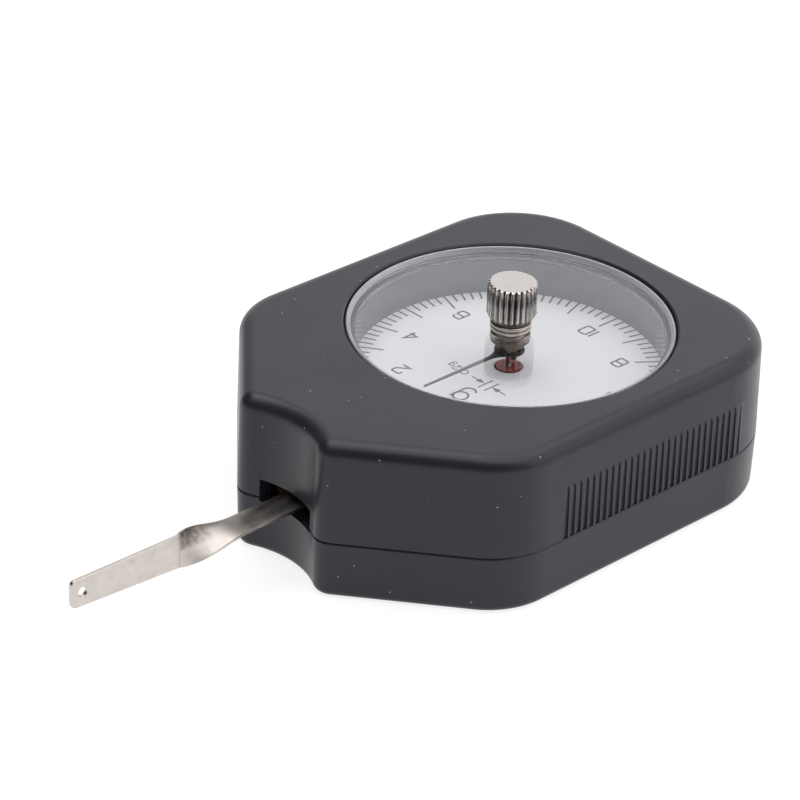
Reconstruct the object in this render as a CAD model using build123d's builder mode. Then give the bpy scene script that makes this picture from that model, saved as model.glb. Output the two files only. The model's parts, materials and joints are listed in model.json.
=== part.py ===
"""Dial tension gauge: a hand gauge with a twisted sensing lever and a round dial.

Units are millimetres. The origin lies on the flat underside, below the dial axis.
+Z points up through the dial, the lever points along -Y, and the ribbed grips face +X and -X.
"""

from build123d import *
from math import acos, asin, cos, hypot, pi, radians, sin, tan
import os

os.makedirs("parts", exist_ok=True)

# Clearances and overruns
overrun = 1.0
running_gap = 0.05
press_gap = 0.02
thread_gap = 0.03
end_play = 0.1

# Housing: plan outline
side_land = 5.65
back_land = 6.65
nose_length = 16.1
nose_width = 16.8
nose_slope = 39.6
nose_hollow = 2.65
rear_corner_radius = 15.0
shoulder_radius = 12.0
nose_corner_radius = 3.0

# Housing: heights and walls
parting_height = 9.0
wall = 2.0
floor_thickness = 2.0
roof_thickness = 2.0
wall_draft = 1.2
top_edge_radius = 2.3
bottom_edge_radius = 1.2
parting_break = 0.2
lip_thickness = 0.95
lip_height = 0.9
lip_gap = 0.1

# Lever slot in the nose
slot_width = 10.9
slot_above_lever = 1.6
slot_below_lever = 2.0

# Ribbed grips
groove_count = 29
groove_pitch = 1.25
groove_width = 0.82
groove_depth = 0.42
groove_height = 8.0
groove_point = 0.5
grip_shift = 0.25

# Housing screws and their bosses
boss_radius = 2.8
boss_inset = 9.0
front_boss_setback = 2.5
housing_screw_radius = 1.2
housing_screw_reach = 17.0
housing_head_radius = 2.2
housing_head_height = 1.6
housing_head_sink = 0.5
counterbore_gap = 0.15

# Movement plates and pillars
seat_height = 1.6
plate_thickness = 1.2
pillar_height = 8.2
pillar_radius = 1.8
pillar_sides = 6
pillar_spigot_radius = 0.9
plate_margin = 3.2
rear_pillar_x = 14.0
rear_pillar_y = 6.0
front_pillar_x = 11.0
front_pillar_setback = 5.5

# Small screws of the movement
small_screw_radius = 0.7
small_head_radius = 1.35
small_head_height = 0.9
small_screw_depth = 4.0
seat_radius = 2.2
seat_screw_depth = 2.6
rear_seat_x = 12.5
rear_seat_y = -6.0
front_seat_x = 6.5
front_seat_setback = 6.5
screw_slot_width = 0.35
screw_slot_depth = 0.35

# Dial, its feet, the well ring and the crystal
dial_lift = 1.6
dial_thickness = 0.5
dial_setback = 0.1
dial_hole_radius = 2.15
dial_foot_radius = 1.0
dial_foot_x = 9.0
front_foot_y = -15.0
ring_wall = 1.2
ring_setback = 0.1
well_depth = 5.3
crystal_radius = 24.0
crystal_rim_height = 2.8
crystal_rim_width = 1.6
crystal_bevel_width = 1.5
crystal_bevel_depth = 0.6
crystal_edge_break = 0.3
crystal_sink = 0.2
gasket_width = 0.35
gasket_sink = 0.5
gasket_height = 1.4
bore_edge_break = 0.25

# Lever geometry and gearing
lever_swing = 10.0
gear_module = 0.3
pinion_teeth = 10
sector_full_teeth = 180
sector_side_teeth = 7
pressure_angle = 20.0
pinion_addendum_share = 0.9
sector_addendum_share = 0.5
root_clearance_share = 0.2
backlash = 0.03
flank_steps = 3

# Lever blade
lever_level = 10.4
strip_width = 4.4
strip_thickness = 0.6
strip_tail = 4.0
strip_corner_radius = 1.5
strip_outside = 6.9
twist_length = 10.5
twist_sections = 9
blade_length = 18.3
blade_root_height = 5.2
blade_tip_height = 4.3
tip_corner_radius = 0.7
tip_hole_setback = 1.9
tip_hole_radius = 0.7
root_lift = 0.2
tip_lift = 0.75

# Lever hub, arbor and its two screws
hub_flange_radius = 3.9
hub_flange_height = 2.0
hub_boss_radius = 2.4
hub_boss_drop = 0.4
lever_arbor_radius = 0.75
lever_pivot_radius = 0.45
lever_screw_radius = 0.5
lever_screw_head_radius = 0.95
lever_screw_head_height = 0.5
lever_screw_offset = 2.3
lever_screw_depth = 1.5
screw_hole_floor = 0.2

# Sector gear
sector_thickness = 0.8
sector_rim_width = 2.4
sector_hub_radius = 3.6
sector_spoke_width = 1.6
sector_arm_width = 1.8
sector_end_margin_share = 0.8

# Stop pins
stop_pin_radius = 0.8
stop_gap = 0.06
stop_place_share = 0.5
stop_pin_rise = 0.4

# Pivot bushings
bushing_radius = 1.3

# Dial arbor and pinion
dial_arbor_radius = 0.6
dial_pivot_radius = 0.35
dial_arbor_top_radius = 0.5
pinion_margin = 0.5

# Springs with their collets and studs
spring_thickness = 0.16
spring_pitch = 1.3
spring_turns = 3
spring_height = 1.0
spring_lift = 0.6
collet_radius = 1.6
collet_height = 1.3
stud_size = 0.8
hairspring_thickness = 0.12
hairspring_pitch = 0.9
hairspring_turns = 3
hairspring_height = 0.6
hairspring_drop = 2.2
hair_collet_radius = 1.1
hair_collet_height = 0.9

# Driver disc and its pin
driver_disc_radius = 1.9
driver_disc_thickness = 0.45
driver_disc_rise = 0.15
driver_pin_radius = 0.3
driver_pin_orbit = 1.35
driver_pin_angle = 143.0
dog_radius = 0.5
dog_gap = 0.05
dog_ground_gap = 0.5
dog_spigot_radius = 0.25

# Crystal bush and its nut
bush_shank_radius = 2.2
bush_flange_radius = 3.05
bush_flange_height = 1.15
bush_groove_depth = 0.25
bush_groove_height = 0.3
bush_edge_break = 0.2
bush_nut_radius = 2.9
bush_nut_height = 0.7

# Knob, spindle, washer, hub and needle
knob_radius = 3.65
knob_height = 5.9
knob_bevel = 0.35
knob_lower_bevel = 0.55
knob_lower_bevel_height = 1.0
knob_flutes = 28
knob_flute_width = 0.6
knob_flute_depth = 0.26
knob_collar_radius = 2.95
knob_collar_height = 0.1
knob_bore_depth = 4.0
spindle_radius = 0.7
washer_radius = 2.6
washer_inner_radius = 1.2
washer_thickness = 0.2
hub_radius = 1.7
hub_height = 2.0
hub_drop = 0.2
needle_thickness = 0.25
needle_lift = 0.3
needle_ring_radius = 2.25
needle_reach = 17.2
needle_root_width = 1.5
needle_waist_width = 0.55
needle_tip_width = 0.3
needle_waist_share = 0.3

# Heights worked out from the sizes above
base_plate_z = floor_thickness + seat_height
base_plate_top = base_plate_z + plate_thickness
top_plate_z = base_plate_top + pillar_height
top_plate_top = top_plate_z + plate_thickness
dial_z = top_plate_top + dial_lift
dial_top = dial_z + dial_thickness
crystal_z = dial_top + well_depth
crystal_top = crystal_z + crystal_rim_height
crystal_face = crystal_top - crystal_bevel_depth
body_height = crystal_top + crystal_sink

# Gear sizes worked out from the module
sector_pitch_radius = gear_module * sector_full_teeth / 2
pinion_pitch_radius = gear_module * pinion_teeth / 2
pivot_y = -(sector_pitch_radius + pinion_pitch_radius)
pivot_place = (0, pivot_y)

# Radii around the dial, and reaches of the housing and the lever from the dial axis
bore_radius = crystal_radius + gasket_width
ring_radius = crystal_radius - ring_setback
dial_radius = ring_radius - dial_setback
half_width = bore_radius + side_land
back_reach = bore_radius + back_land
nose_reach = nose_length - pivot_y
flat_end_reach = nose_reach + strip_outside
twist_end_reach = flat_end_reach + twist_length
tip_reach = twist_end_reach + blade_length

# Places that several pieces share
shoulder_y = -nose_reach + (half_width - nose_width / 2) * tan(radians(nose_slope))
boss_x = half_width - boss_inset
rear_boss_y = back_reach - boss_inset
front_boss_y = shoulder_y + front_boss_setback
boss_places = [(side * boss_x, y) for side in (1, -1) for y in (rear_boss_y, front_boss_y)]
front_pillar_y = pivot_y - front_pillar_setback
pillar_places = [
    (rear_pillar_x, rear_pillar_y),
    (-rear_pillar_x, rear_pillar_y),
    (-front_pillar_x, front_pillar_y),
    (front_pillar_x, front_pillar_y),
]
front_seat_y = pivot_y - front_seat_setback
seat_places = [
    (side * x, y)
    for side in (1, -1)
    for x, y in ((rear_seat_x, rear_seat_y), (front_seat_x, front_seat_y))
]
dial_foot_places = [(dial_foot_x, rear_pillar_y), (-dial_foot_x, rear_pillar_y), (0, front_foot_y)]
lever_screw_places = [(0, pivot_y + side * lever_screw_offset) for side in (1, -1)]


# Plan outline of the housing: square back, tapered shoulders and a hollow nose
with BuildSketch() as housing_face:
    with BuildLine():
        Polyline(
            (nose_width / 2, -nose_reach),
            (half_width, shoulder_y),
            (half_width, back_reach),
            (-half_width, back_reach),
            (-half_width, shoulder_y),
            (-nose_width / 2, -nose_reach),
        )
        SagittaArc((-nose_width / 2, -nose_reach), (nose_width / 2, -nose_reach), nose_hollow)
    make_face()
    fillet(housing_face.vertices().group_by(Axis.Y)[1], shoulder_radius)
    fillet(housing_face.vertices().group_by(Axis.Y)[-1], rear_corner_radius)
    fillet(housing_face.vertices().group_by(Axis.Y)[0], nose_corner_radius)


# Outline of both movement plates: a rounded band around the four pillars
with BuildSketch() as plate_face:
    with BuildLine():
        Polyline(*pillar_places, close=True)
    make_face()
    offset(amount=plate_margin)


def drill(places, radius, depth):
    """Cut round holes upward from the current level at the given places."""
    with Locations(*places):
        Cylinder(
            radius, depth, align=(Align.CENTER, Align.CENTER, Align.MIN), mode=Mode.SUBTRACT
        )


def post(radius, height, mode=Mode.ADD):
    """One upright cylinder that stands on the current location."""
    Cylinder(radius, height, align=(Align.CENTER, Align.CENTER, Align.MIN), mode=mode)


def involute(angle):
    """Involute function of a pressure angle in radians."""
    return tan(angle) - angle


def tooth_half_angle(radius, pitch_radius):
    """Half the angle that a tooth takes up at a radius."""
    base_radius = pitch_radius * cos(radians(pressure_angle))
    thickness = pi * gear_module / 2 - backlash
    flank = acos(min(1, base_radius / radius))
    return thickness / (2 * pitch_radius) + involute(radians(pressure_angle)) - involute(flank)


def tooth_points(pitch_radius, root_radius, tip_radius, middle):
    """Points of one tooth, from its right root to its left root, around a middle angle."""
    radii = [
        root_radius + (tip_radius - root_radius) * step / flank_steps
        for step in range(flank_steps + 1)
    ]
    right = [(r, middle - tooth_half_angle(r, pitch_radius)) for r in radii]
    left = [(r, middle + tooth_half_angle(r, pitch_radius)) for r in reversed(radii)]
    return [(r * cos(a), r * sin(a)) for r, a in right + left]


def spiral_strip(inner_radius, turns, pitch, thickness):
    """Flat spiral face made of half circles that grow by half a pitch each time."""
    step = pitch / 2
    radii = [inner_radius + step * index for index in range(2 * turns)]
    end_x = step + radii[-1]
    with BuildSketch() as strip:
        with BuildLine():
            for edge in (thickness / 2, -thickness / 2):
                for index, radius in enumerate(radii):
                    CenterArc((step * (index % 2), 0), radius + edge, 180 * (index % 2), 180)
            Line((radii[0] - thickness / 2, 0), (radii[0] + thickness / 2, 0))
            Line((end_x - thickness / 2, 0), (end_x + thickness / 2, 0))
        make_face()
    return strip.sketch


def spiral_end(inner_radius, turns, pitch):
    """Distance from the centre of a spiral to its outer end."""
    return inner_radius + pitch / 2 * (2 * turns - 1) + pitch / 2


def slotted_screws(head_radius, head_height, shank_radius, shank_length):
    """Cheese-head screws, with the underside of each head at the current locations."""
    Cylinder(shank_radius, shank_length, align=(Align.CENTER, Align.CENTER, Align.MAX))
    post(head_radius, head_height)
    with Locations((0, 0, head_height - screw_slot_depth)):
        Box(
            2 * head_radius + overrun,
            screw_slot_width,
            screw_slot_depth + overrun,
            align=(Align.CENTER, Align.CENTER, Align.MIN),
            mode=Mode.SUBTRACT,
        )


# Lower shell: shallow tray with screw bosses, plate seats and a lip for the upper shell
lever_bottom = lever_level - strip_thickness / 2
slot_z = lever_bottom - slot_below_lever + strip_thickness / 2
slot_top = lever_level + slot_above_lever
slot_depth = 2 * (wall + nose_hollow + nose_corner_radius)
slot_height = slot_top - slot_z
slot_place = (0, -nose_reach, slot_z)
head_seat_z = housing_head_sink + housing_head_height
head_bore_radius = housing_head_radius + counterbore_gap
shank_hole_radius = housing_screw_radius + counterbore_gap
bottom_shrink = parting_height * tan(radians(wall_draft))

with BuildPart() as lower_shell:
    with BuildSketch(Plane.XY):
        offset(housing_face.sketch, amount=-bottom_shrink)
    extrude(amount=parting_height, taper=-wall_draft)
    chamfer(lower_shell.edges().group_by(Axis.Z)[-1], parting_break)
    fillet(lower_shell.edges().group_by(Axis.Z)[0], bottom_edge_radius)
    with BuildSketch(Plane.XY.offset(floor_thickness)):
        offset(housing_face.sketch, amount=-wall)
    extrude(amount=parting_height, mode=Mode.SUBTRACT)
    with BuildSketch(Plane.XY.offset(parting_height)):
        offset(housing_face.sketch, amount=lip_thickness - wall)
    extrude(amount=lip_height)
    with BuildSketch(Plane.XY.offset(parting_height)):
        offset(housing_face.sketch, amount=-wall)
    extrude(amount=lip_height, mode=Mode.SUBTRACT)
    with Locations(*[(x, y, floor_thickness) for x, y in boss_places]):
        post(boss_radius, parting_height - floor_thickness)
    with Locations(*[(x, y, floor_thickness) for x, y in seat_places]):
        post(seat_radius, seat_height)
    drill([(x, y, 0) for x, y in boss_places], shank_hole_radius, parting_height)
    drill([(x, y, 0) for x, y in boss_places], head_bore_radius, head_seat_z)
    drill(
        [(x, y, base_plate_z - seat_screw_depth) for x, y in seat_places],
        small_screw_radius + thread_gap,
        seat_screw_depth,
    )
    with Locations(slot_place):
        Box(
            slot_width,
            slot_depth,
            slot_height,
            align=(Align.CENTER, Align.CENTER, Align.MIN),
            mode=Mode.SUBTRACT,
        )
lower_shell.part.label = "lower_shell"
export_step(lower_shell.part, "parts/lower_shell.step")


# Upper shell: deep cover with the crystal bore, the ribbed grips and the lever slot
upper_height = body_height - parting_height
roof_z = body_height - roof_thickness
grip_z = parting_height

with BuildPart() as upper_shell:
    with BuildSketch(Plane.XY.offset(parting_height)):
        add(housing_face.sketch)
    extrude(amount=upper_height, taper=wall_draft)
    chamfer(upper_shell.edges().group_by(Axis.Z)[0], parting_break)
    fillet(upper_shell.edges().group_by(Axis.Z)[-1], top_edge_radius)
    with BuildSketch(Plane.XY.offset(parting_height)):
        offset(housing_face.sketch, amount=-wall)
    extrude(amount=roof_z - parting_height, mode=Mode.SUBTRACT)
    with BuildSketch(Plane.XY.offset(parting_height)):
        offset(housing_face.sketch, amount=lip_thickness + lip_gap - wall)
    extrude(amount=lip_height + lip_gap, mode=Mode.SUBTRACT)
    with Locations(*[(x, y, parting_height) for x, y in boss_places]):
        post(boss_radius, roof_z - parting_height)
    drill(
        [(x, y, parting_height) for x, y in boss_places],
        housing_screw_radius + thread_gap,
        housing_screw_reach - parting_height + end_play,
    )
    with Locations((0, 0, roof_z - overrun)):
        post(bore_radius, roof_thickness + 2 * overrun, mode=Mode.SUBTRACT)
    bore_rim = upper_shell.edges().filter_by(GeomType.CIRCLE).group_by(Axis.Z)[-1]
    chamfer(bore_rim, bore_edge_break)
    for side in (1, -1):
        with BuildSketch(Plane.YZ.offset(side * half_width)):
            with Locations((grip_shift, grip_z + groove_height / 2)):
                with GridLocations(groove_pitch, 0, groove_count, 1):
                    Rectangle(groove_width, groove_height)
            with Locations((grip_shift, grip_z + groove_height)):
                with GridLocations(groove_pitch, 0, groove_count, 1):
                    Triangle(
                        c=groove_width,
                        a=hypot(groove_width / 2, groove_point),
                        b=hypot(groove_width / 2, groove_point),
                        align=(Align.CENTER, Align.MIN),
                    )
        extrude(amount=-side * groove_depth, mode=Mode.SUBTRACT)
    with Locations(slot_place):
        Box(
            slot_width,
            slot_depth,
            slot_height,
            align=(Align.CENTER, Align.CENTER, Align.MIN),
            mode=Mode.SUBTRACT,
        )
upper_shell.part.label = "upper_shell"
export_step(upper_shell.part, "parts/upper_shell.step")


# Housing screws: four, driven from below
with BuildPart() as housing_screws:
    with Locations(*[(x, y, housing_head_sink) for x, y in boss_places]):
        post(housing_head_radius, housing_head_height)
    with Locations(*[(x, y, head_seat_z) for x, y in boss_places]):
        post(housing_screw_radius, housing_screw_reach - head_seat_z)
    with Locations(*[(x, y, housing_head_sink) for x, y in boss_places]):
        Box(
            2 * housing_head_radius + overrun,
            2 * screw_slot_width,
            2 * screw_slot_width,
            mode=Mode.SUBTRACT,
        )
housing_screws.part.label = "housing_screws"
export_step(housing_screws.part, "parts/housing_screws.step")


# Base plate of the movement, screwed to the seats of the lower shell
bushing_hole_radius = bushing_radius + press_gap
with BuildPart() as base_plate:
    with BuildSketch(Plane.XY.offset(base_plate_z)):
        add(plate_face.sketch)
    extrude(amount=plate_thickness)
    drill([(x, y, base_plate_z) for x, y in seat_places], small_screw_radius + thread_gap, plate_thickness)
    drill(
        [(x, y, base_plate_z) for x, y in pillar_places],
        pillar_spigot_radius + press_gap,
        plate_thickness,
    )
    drill([(0, 0, base_plate_z), (*pivot_place, base_plate_z)], bushing_hole_radius, plate_thickness)
base_plate.part.label = "base_plate"
export_step(base_plate.part, "parts/base_plate.step")


# Base plate screws: four, into the seats
with BuildPart() as base_plate_screws:
    with Locations(*[(x, y, base_plate_top) for x, y in seat_places]):
        slotted_screws(
            small_head_radius,
            small_head_height,
            small_screw_radius,
            plate_thickness + seat_screw_depth - end_play,
        )
base_plate_screws.part.label = "base_plate_screws"
export_step(base_plate_screws.part, "parts/base_plate_screws.step")


# Pillars: four, with flat sides, riveted in the base plate and tapped at the top
with BuildPart() as pillars:
    with Locations(*[(x, y, base_plate_z) for x, y in pillar_places]):
        post(pillar_spigot_radius, plate_thickness)
    with BuildSketch(Plane.XY.offset(base_plate_top)):
        with Locations(*pillar_places):
            RegularPolygon(pillar_radius, pillar_sides)
    extrude(amount=pillar_height)
    drill(
        [(x, y, top_plate_z - small_screw_depth - end_play) for x, y in pillar_places],
        small_screw_radius + thread_gap,
        small_screw_depth + end_play,
    )
pillars.part.label = "pillars"
export_step(pillars.part, "parts/pillars.step")


# Top plate: bridge over the gears, which carries the dial
with BuildPart() as top_plate:
    with BuildSketch(Plane.XY.offset(top_plate_z)):
        add(plate_face.sketch)
    extrude(amount=plate_thickness)
    drill(
        [(x, y, top_plate_z) for x, y in pillar_places], small_screw_radius + thread_gap, plate_thickness
    )
    drill(
        [(x, y, top_plate_z) for x, y in dial_foot_places],
        dial_foot_radius + press_gap,
        plate_thickness,
    )
    drill([(0, 0, top_plate_z), (*pivot_place, top_plate_z)], bushing_hole_radius, plate_thickness)
top_plate.part.label = "top_plate"
export_step(top_plate.part, "parts/top_plate.step")


# Top plate screws: four, into the pillars
with BuildPart() as top_plate_screws:
    with Locations(*[(x, y, top_plate_top) for x, y in pillar_places]):
        slotted_screws(
            small_head_radius,
            small_head_height,
            small_screw_radius,
            plate_thickness + small_screw_depth,
        )
top_plate_screws.part.label = "top_plate_screws"
export_step(top_plate_screws.part, "parts/top_plate_screws.step")


# Pivot bushings: one pair for each arbor, pressed into the two plates
with BuildPart() as pivot_bushings:
    with Locations(
        (0, 0, base_plate_z),
        (0, 0, top_plate_z),
        (*pivot_place, base_plate_z),
        (*pivot_place, top_plate_z),
    ):
        post(bushing_radius, plate_thickness)
    drill([(0, 0, base_plate_z)], dial_pivot_radius + running_gap, plate_thickness)
    drill([(0, 0, top_plate_z)], dial_arbor_top_radius + running_gap, plate_thickness)
    drill(
        [(*pivot_place, base_plate_z), (*pivot_place, top_plate_z)],
        lever_pivot_radius + running_gap,
        plate_thickness,
    )
pivot_bushings.part.label = "pivot_bushings"
export_step(pivot_bushings.part, "parts/pivot_bushings.step")


# Sector gear: toothed fan on the lever hub, lightened by two windows beside its spoke
sector_z = lever_bottom - hub_flange_height - sector_thickness
sector_root = sector_pitch_radius - gear_module * (pinion_addendum_share + root_clearance_share)
sector_tip = sector_pitch_radius + gear_module * sector_addendum_share
tooth_angle = 2 * pi / sector_full_teeth
fan_angle = tooth_angle * (sector_side_teeth + sector_end_margin_share)
fan_x = sector_root * sin(fan_angle)
fan_y = sector_root * cos(fan_angle)
window_near_y = sector_hub_radius + sector_rim_width
window_far_radius = sector_root - sector_rim_width
window_far_y = window_far_radius * cos(fan_angle)
window_near_x = sector_hub_radius + (fan_x - sector_hub_radius) * window_near_y / fan_y
window_far_x = sector_hub_radius + (fan_x - sector_hub_radius) * window_far_y / fan_y
sector_teeth = [
    point
    for index in range(-sector_side_teeth, sector_side_teeth + 1)
    for point in tooth_points(
        sector_pitch_radius, sector_root, sector_tip, pi / 2 + index * tooth_angle
    )
]

with BuildPart() as sector_gear:
    with BuildSketch(Plane.XY.move(Location((*pivot_place, sector_z)))):
        with BuildLine():
            Polyline(
                (-fan_x, fan_y),
                (-sector_hub_radius, 0),
                (sector_hub_radius, 0),
                (fan_x, fan_y),
                *sector_teeth,
                (-fan_x, fan_y),
            )
        make_face()
        for side in (1, -1):
            with BuildLine():
                Polyline(
                    (side * sector_spoke_width / 2, window_near_y),
                    (side * (window_near_x - sector_arm_width), window_near_y),
                    (side * (window_far_x - sector_arm_width), window_far_y),
                    (side * sector_spoke_width / 2, window_far_radius),
                    close=True,
                )
            make_face(mode=Mode.SUBTRACT)
        Circle(sector_hub_radius)
        Circle(hub_boss_radius + press_gap, mode=Mode.SUBTRACT)
    extrude(amount=sector_thickness)
sector_gear.part.label = "sector_gear"
export_step(sector_gear.part, "parts/sector_gear.step")


# Lever hub: flange that carries the strip, with a boss below it for the sector
hub_flange_z = lever_bottom - hub_flange_height
hub_boss_z = sector_z - hub_boss_drop
with BuildPart() as lever_hub:
    with Locations((*pivot_place, hub_flange_z)):
        post(hub_flange_radius, hub_flange_height)
    with Locations((*pivot_place, hub_boss_z)):
        post(hub_boss_radius, hub_flange_z - hub_boss_z)
    drill([(*pivot_place, hub_boss_z)], lever_arbor_radius + press_gap, lever_bottom - hub_boss_z)
    drill(
        [(x, y, lever_bottom - lever_screw_depth - screw_hole_floor) for x, y in lever_screw_places],
        lever_screw_radius + thread_gap,
        lever_screw_depth + screw_hole_floor,
    )
lever_hub.part.label = "lever_hub"
export_step(lever_hub.part, "parts/lever_hub.step")


# Lever arbor: upright steel shaft with a thin pivot at each end
arbor_z = base_plate_top + end_play
arbor_top = top_plate_z - end_play
with BuildPart() as lever_arbor:
    with Locations((*pivot_place, base_plate_z)):
        post(lever_pivot_radius, top_plate_top - base_plate_z)
    with Locations((*pivot_place, arbor_z)):
        post(lever_arbor_radius, arbor_top - arbor_z)
lever_arbor.part.label = "lever_arbor"
export_step(lever_arbor.part, "parts/lever_arbor.step")


# Lever blade: flat strip through the slot, a quarter twist, and an upright blade with a hole
strip_length = flat_end_reach + pivot_y + strip_tail
strip_middle_y = (pivot_y + strip_tail - flat_end_reach) / 2
root_level = lever_level + root_lift
tip_level = lever_level + tip_lift
with BuildPart() as lever_blade:
    with BuildSketch(Plane.XY.offset(lever_bottom)):
        with Locations((0, strip_middle_y)):
            strip = Rectangle(strip_width, strip_length)
        fillet(strip.vertices().group_by(Axis.Y)[-1], strip_corner_radius)
    extrude(amount=strip_thickness)
    drill([(*pivot_place, lever_bottom)], lever_arbor_radius + press_gap, strip_thickness)
    drill(
        [(x, y, lever_bottom) for x, y in lever_screw_places],
        lever_screw_radius + thread_gap,
        strip_thickness,
    )
    for index in range(twist_sections):
        share = index / (twist_sections - 1)
        turn = pi / 2 * share * share * (3 - 2 * share)
        section = Plane(
            origin=(0, -flat_end_reach - twist_length * share, lever_level + root_lift * share),
            x_dir=(cos(turn), 0, -sin(turn)),
            z_dir=(0, -1, 0),
        )
        with BuildSketch(section):
            Rectangle(strip_width + (blade_root_height - strip_width) * share, strip_thickness)
    loft()
    with BuildSketch(Plane.YZ) as blade_side:
        with BuildLine():
            Polyline(
                (-twist_end_reach, root_level - blade_root_height / 2),
                (-twist_end_reach, root_level + blade_root_height / 2),
                (-tip_reach, tip_level + blade_tip_height / 2),
                (-tip_reach, tip_level - blade_tip_height / 2),
                close=True,
            )
        make_face()
        fillet(blade_side.vertices().group_by(Axis.X)[0], tip_corner_radius)
        with Locations((tip_hole_setback - tip_reach, tip_level)):
            Circle(tip_hole_radius, mode=Mode.SUBTRACT)
    extrude(amount=strip_thickness / 2, both=True)
lever_blade.part.label = "lever_blade"
export_step(lever_blade.part, "parts/lever_blade.step")


# Lever screws: two, clamping the strip to the hub
strip_top = lever_bottom + strip_thickness
with BuildPart() as lever_screws:
    with Locations(*[(x, y, strip_top) for x, y in lever_screw_places]):
        slotted_screws(
            lever_screw_head_radius,
            lever_screw_head_height,
            lever_screw_radius,
            strip_thickness + lever_screw_depth,
        )
lever_screws.part.label = "lever_screws"
export_step(lever_screws.part, "parts/lever_screws.step")


# Collet of the measuring spring, on the lever arbor
spring_z = base_plate_top + spring_lift
collet_z = spring_z + (spring_height - collet_height) / 2
with BuildPart() as spring_collet:
    with Locations((*pivot_place, collet_z)):
        post(collet_radius, collet_height)
    drill([(*pivot_place, collet_z)], lever_arbor_radius + press_gap, collet_height)
spring_collet.part.label = "spring_collet"
export_step(spring_collet.part, "parts/spring_collet.step")


# Measuring spring: flat spiral around the lever arbor
spring_start = collet_radius + running_gap + spring_thickness / 2
with BuildPart() as measuring_spring:
    with BuildSketch(Plane.XY.offset(spring_z)):
        with Locations(pivot_place):
            add(spiral_strip(spring_start, spring_turns, spring_pitch, spring_thickness))
    extrude(amount=spring_height)
measuring_spring.part.label = "measuring_spring"
export_step(measuring_spring.part, "parts/measuring_spring.step")


# Stud of the measuring spring, standing on the base plate at the end of the spiral
spring_end_x = spiral_end(spring_start, spring_turns, spring_pitch)
with BuildPart() as spring_stud:
    with Locations((spring_end_x, pivot_y + stud_size / 2, base_plate_top)):
        Box(
            stud_size,
            stud_size,
            spring_lift + spring_height,
            align=(Align.CENTER, Align.CENTER, Align.MIN),
        )
spring_stud.part.label = "spring_stud"
export_step(spring_stud.part, "parts/spring_stud.step")


# Stop pins: two on the base plate, where the sides of the sector end their swing
edge_length = hypot(fan_x - sector_hub_radius, fan_y)
edge_reach = stop_pin_radius + stop_gap
edge_x = (
    sector_hub_radius
    + stop_place_share * (fan_x - sector_hub_radius)
    + edge_reach * fan_y / edge_length
)
edge_y = stop_place_share * fan_y - edge_reach * (fan_x - sector_hub_radius) / edge_length
swing = radians(lever_swing)
stop_x = edge_x * cos(swing) + edge_y * sin(swing)
stop_y = pivot_y + edge_y * cos(swing) - edge_x * sin(swing)
with BuildPart() as stop_pins:
    with Locations((stop_x, stop_y, base_plate_top), (-stop_x, stop_y, base_plate_top)):
        post(stop_pin_radius, sector_z + sector_thickness + stop_pin_rise - base_plate_top)
stop_pins.part.label = "stop_pins"
export_step(stop_pins.part, "parts/stop_pins.step")


# Dial arbor: thin steel shaft from the base plate up through the dial
driver_disc_top = dial_top + driver_disc_rise
driver_disc_z = driver_disc_top - driver_disc_thickness
with BuildPart() as dial_arbor:
    with Locations((0, 0, base_plate_z)):
        post(dial_pivot_radius, plate_thickness + end_play)
    with Locations((0, 0, arbor_z)):
        post(dial_arbor_radius, arbor_top - arbor_z)
    with Locations((0, 0, arbor_top)):
        post(dial_arbor_top_radius, driver_disc_top - arbor_top)
dial_arbor.part.label = "dial_arbor"
export_step(dial_arbor.part, "parts/dial_arbor.step")


# Pinion on the dial arbor, with a tooth gap facing the sector at rest
pinion_z = sector_z - pinion_margin
pinion_root = pinion_pitch_radius - gear_module * (sector_addendum_share + root_clearance_share)
pinion_tip = pinion_pitch_radius + gear_module * pinion_addendum_share
pinion_pitch_angle = 2 * pi / pinion_teeth
pinion_leaves = [
    point
    for index in range(pinion_teeth)
    for point in tooth_points(
        pinion_pitch_radius,
        pinion_root,
        pinion_tip,
        pinion_pitch_angle * (index + 1 / 2) - pi / 2,
    )
]
with BuildPart() as pinion:
    with BuildSketch(Plane.XY.offset(pinion_z)):
        with BuildLine():
            Polyline(*pinion_leaves, close=True)
        make_face()
        Circle(dial_arbor_radius + press_gap, mode=Mode.SUBTRACT)
    extrude(amount=sector_thickness + 2 * pinion_margin)
pinion.part.label = "pinion"
export_step(pinion.part, "parts/pinion.step")


# Collet of the hairspring, on the dial arbor
hairspring_z = top_plate_z - hairspring_drop
hair_collet_z = hairspring_z + (hairspring_height - hair_collet_height) / 2
with BuildPart() as hairspring_collet:
    with Locations((0, 0, hair_collet_z)):
        post(hair_collet_radius, hair_collet_height)
    drill([(0, 0, hair_collet_z)], dial_arbor_radius + press_gap, hair_collet_height)
hairspring_collet.part.label = "hairspring_collet"
export_step(hairspring_collet.part, "parts/hairspring_collet.step")


# Hairspring: fine flat spiral that takes up the play of the gears
hairspring_start = hair_collet_radius + running_gap + hairspring_thickness / 2
with BuildPart() as hairspring:
    with BuildSketch(Plane.XY.offset(hairspring_z)):
        add(
            spiral_strip(
                hairspring_start, hairspring_turns, hairspring_pitch, hairspring_thickness
            )
        )
    extrude(amount=hairspring_height)
hairspring.part.label = "hairspring"
export_step(hairspring.part, "parts/hairspring.step")


# Stud of the hairspring, hanging from the top plate
hairspring_end_x = spiral_end(hairspring_start, hairspring_turns, hairspring_pitch)
with BuildPart() as hairspring_stud:
    with Locations((hairspring_end_x, stud_size / 2, hairspring_z)):
        Box(
            stud_size,
            stud_size,
            hairspring_drop,
            align=(Align.CENTER, Align.CENTER, Align.MIN),
        )
hairspring_stud.part.label = "hairspring_stud"
export_step(hairspring_stud.part, "parts/hairspring_stud.step")


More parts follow.
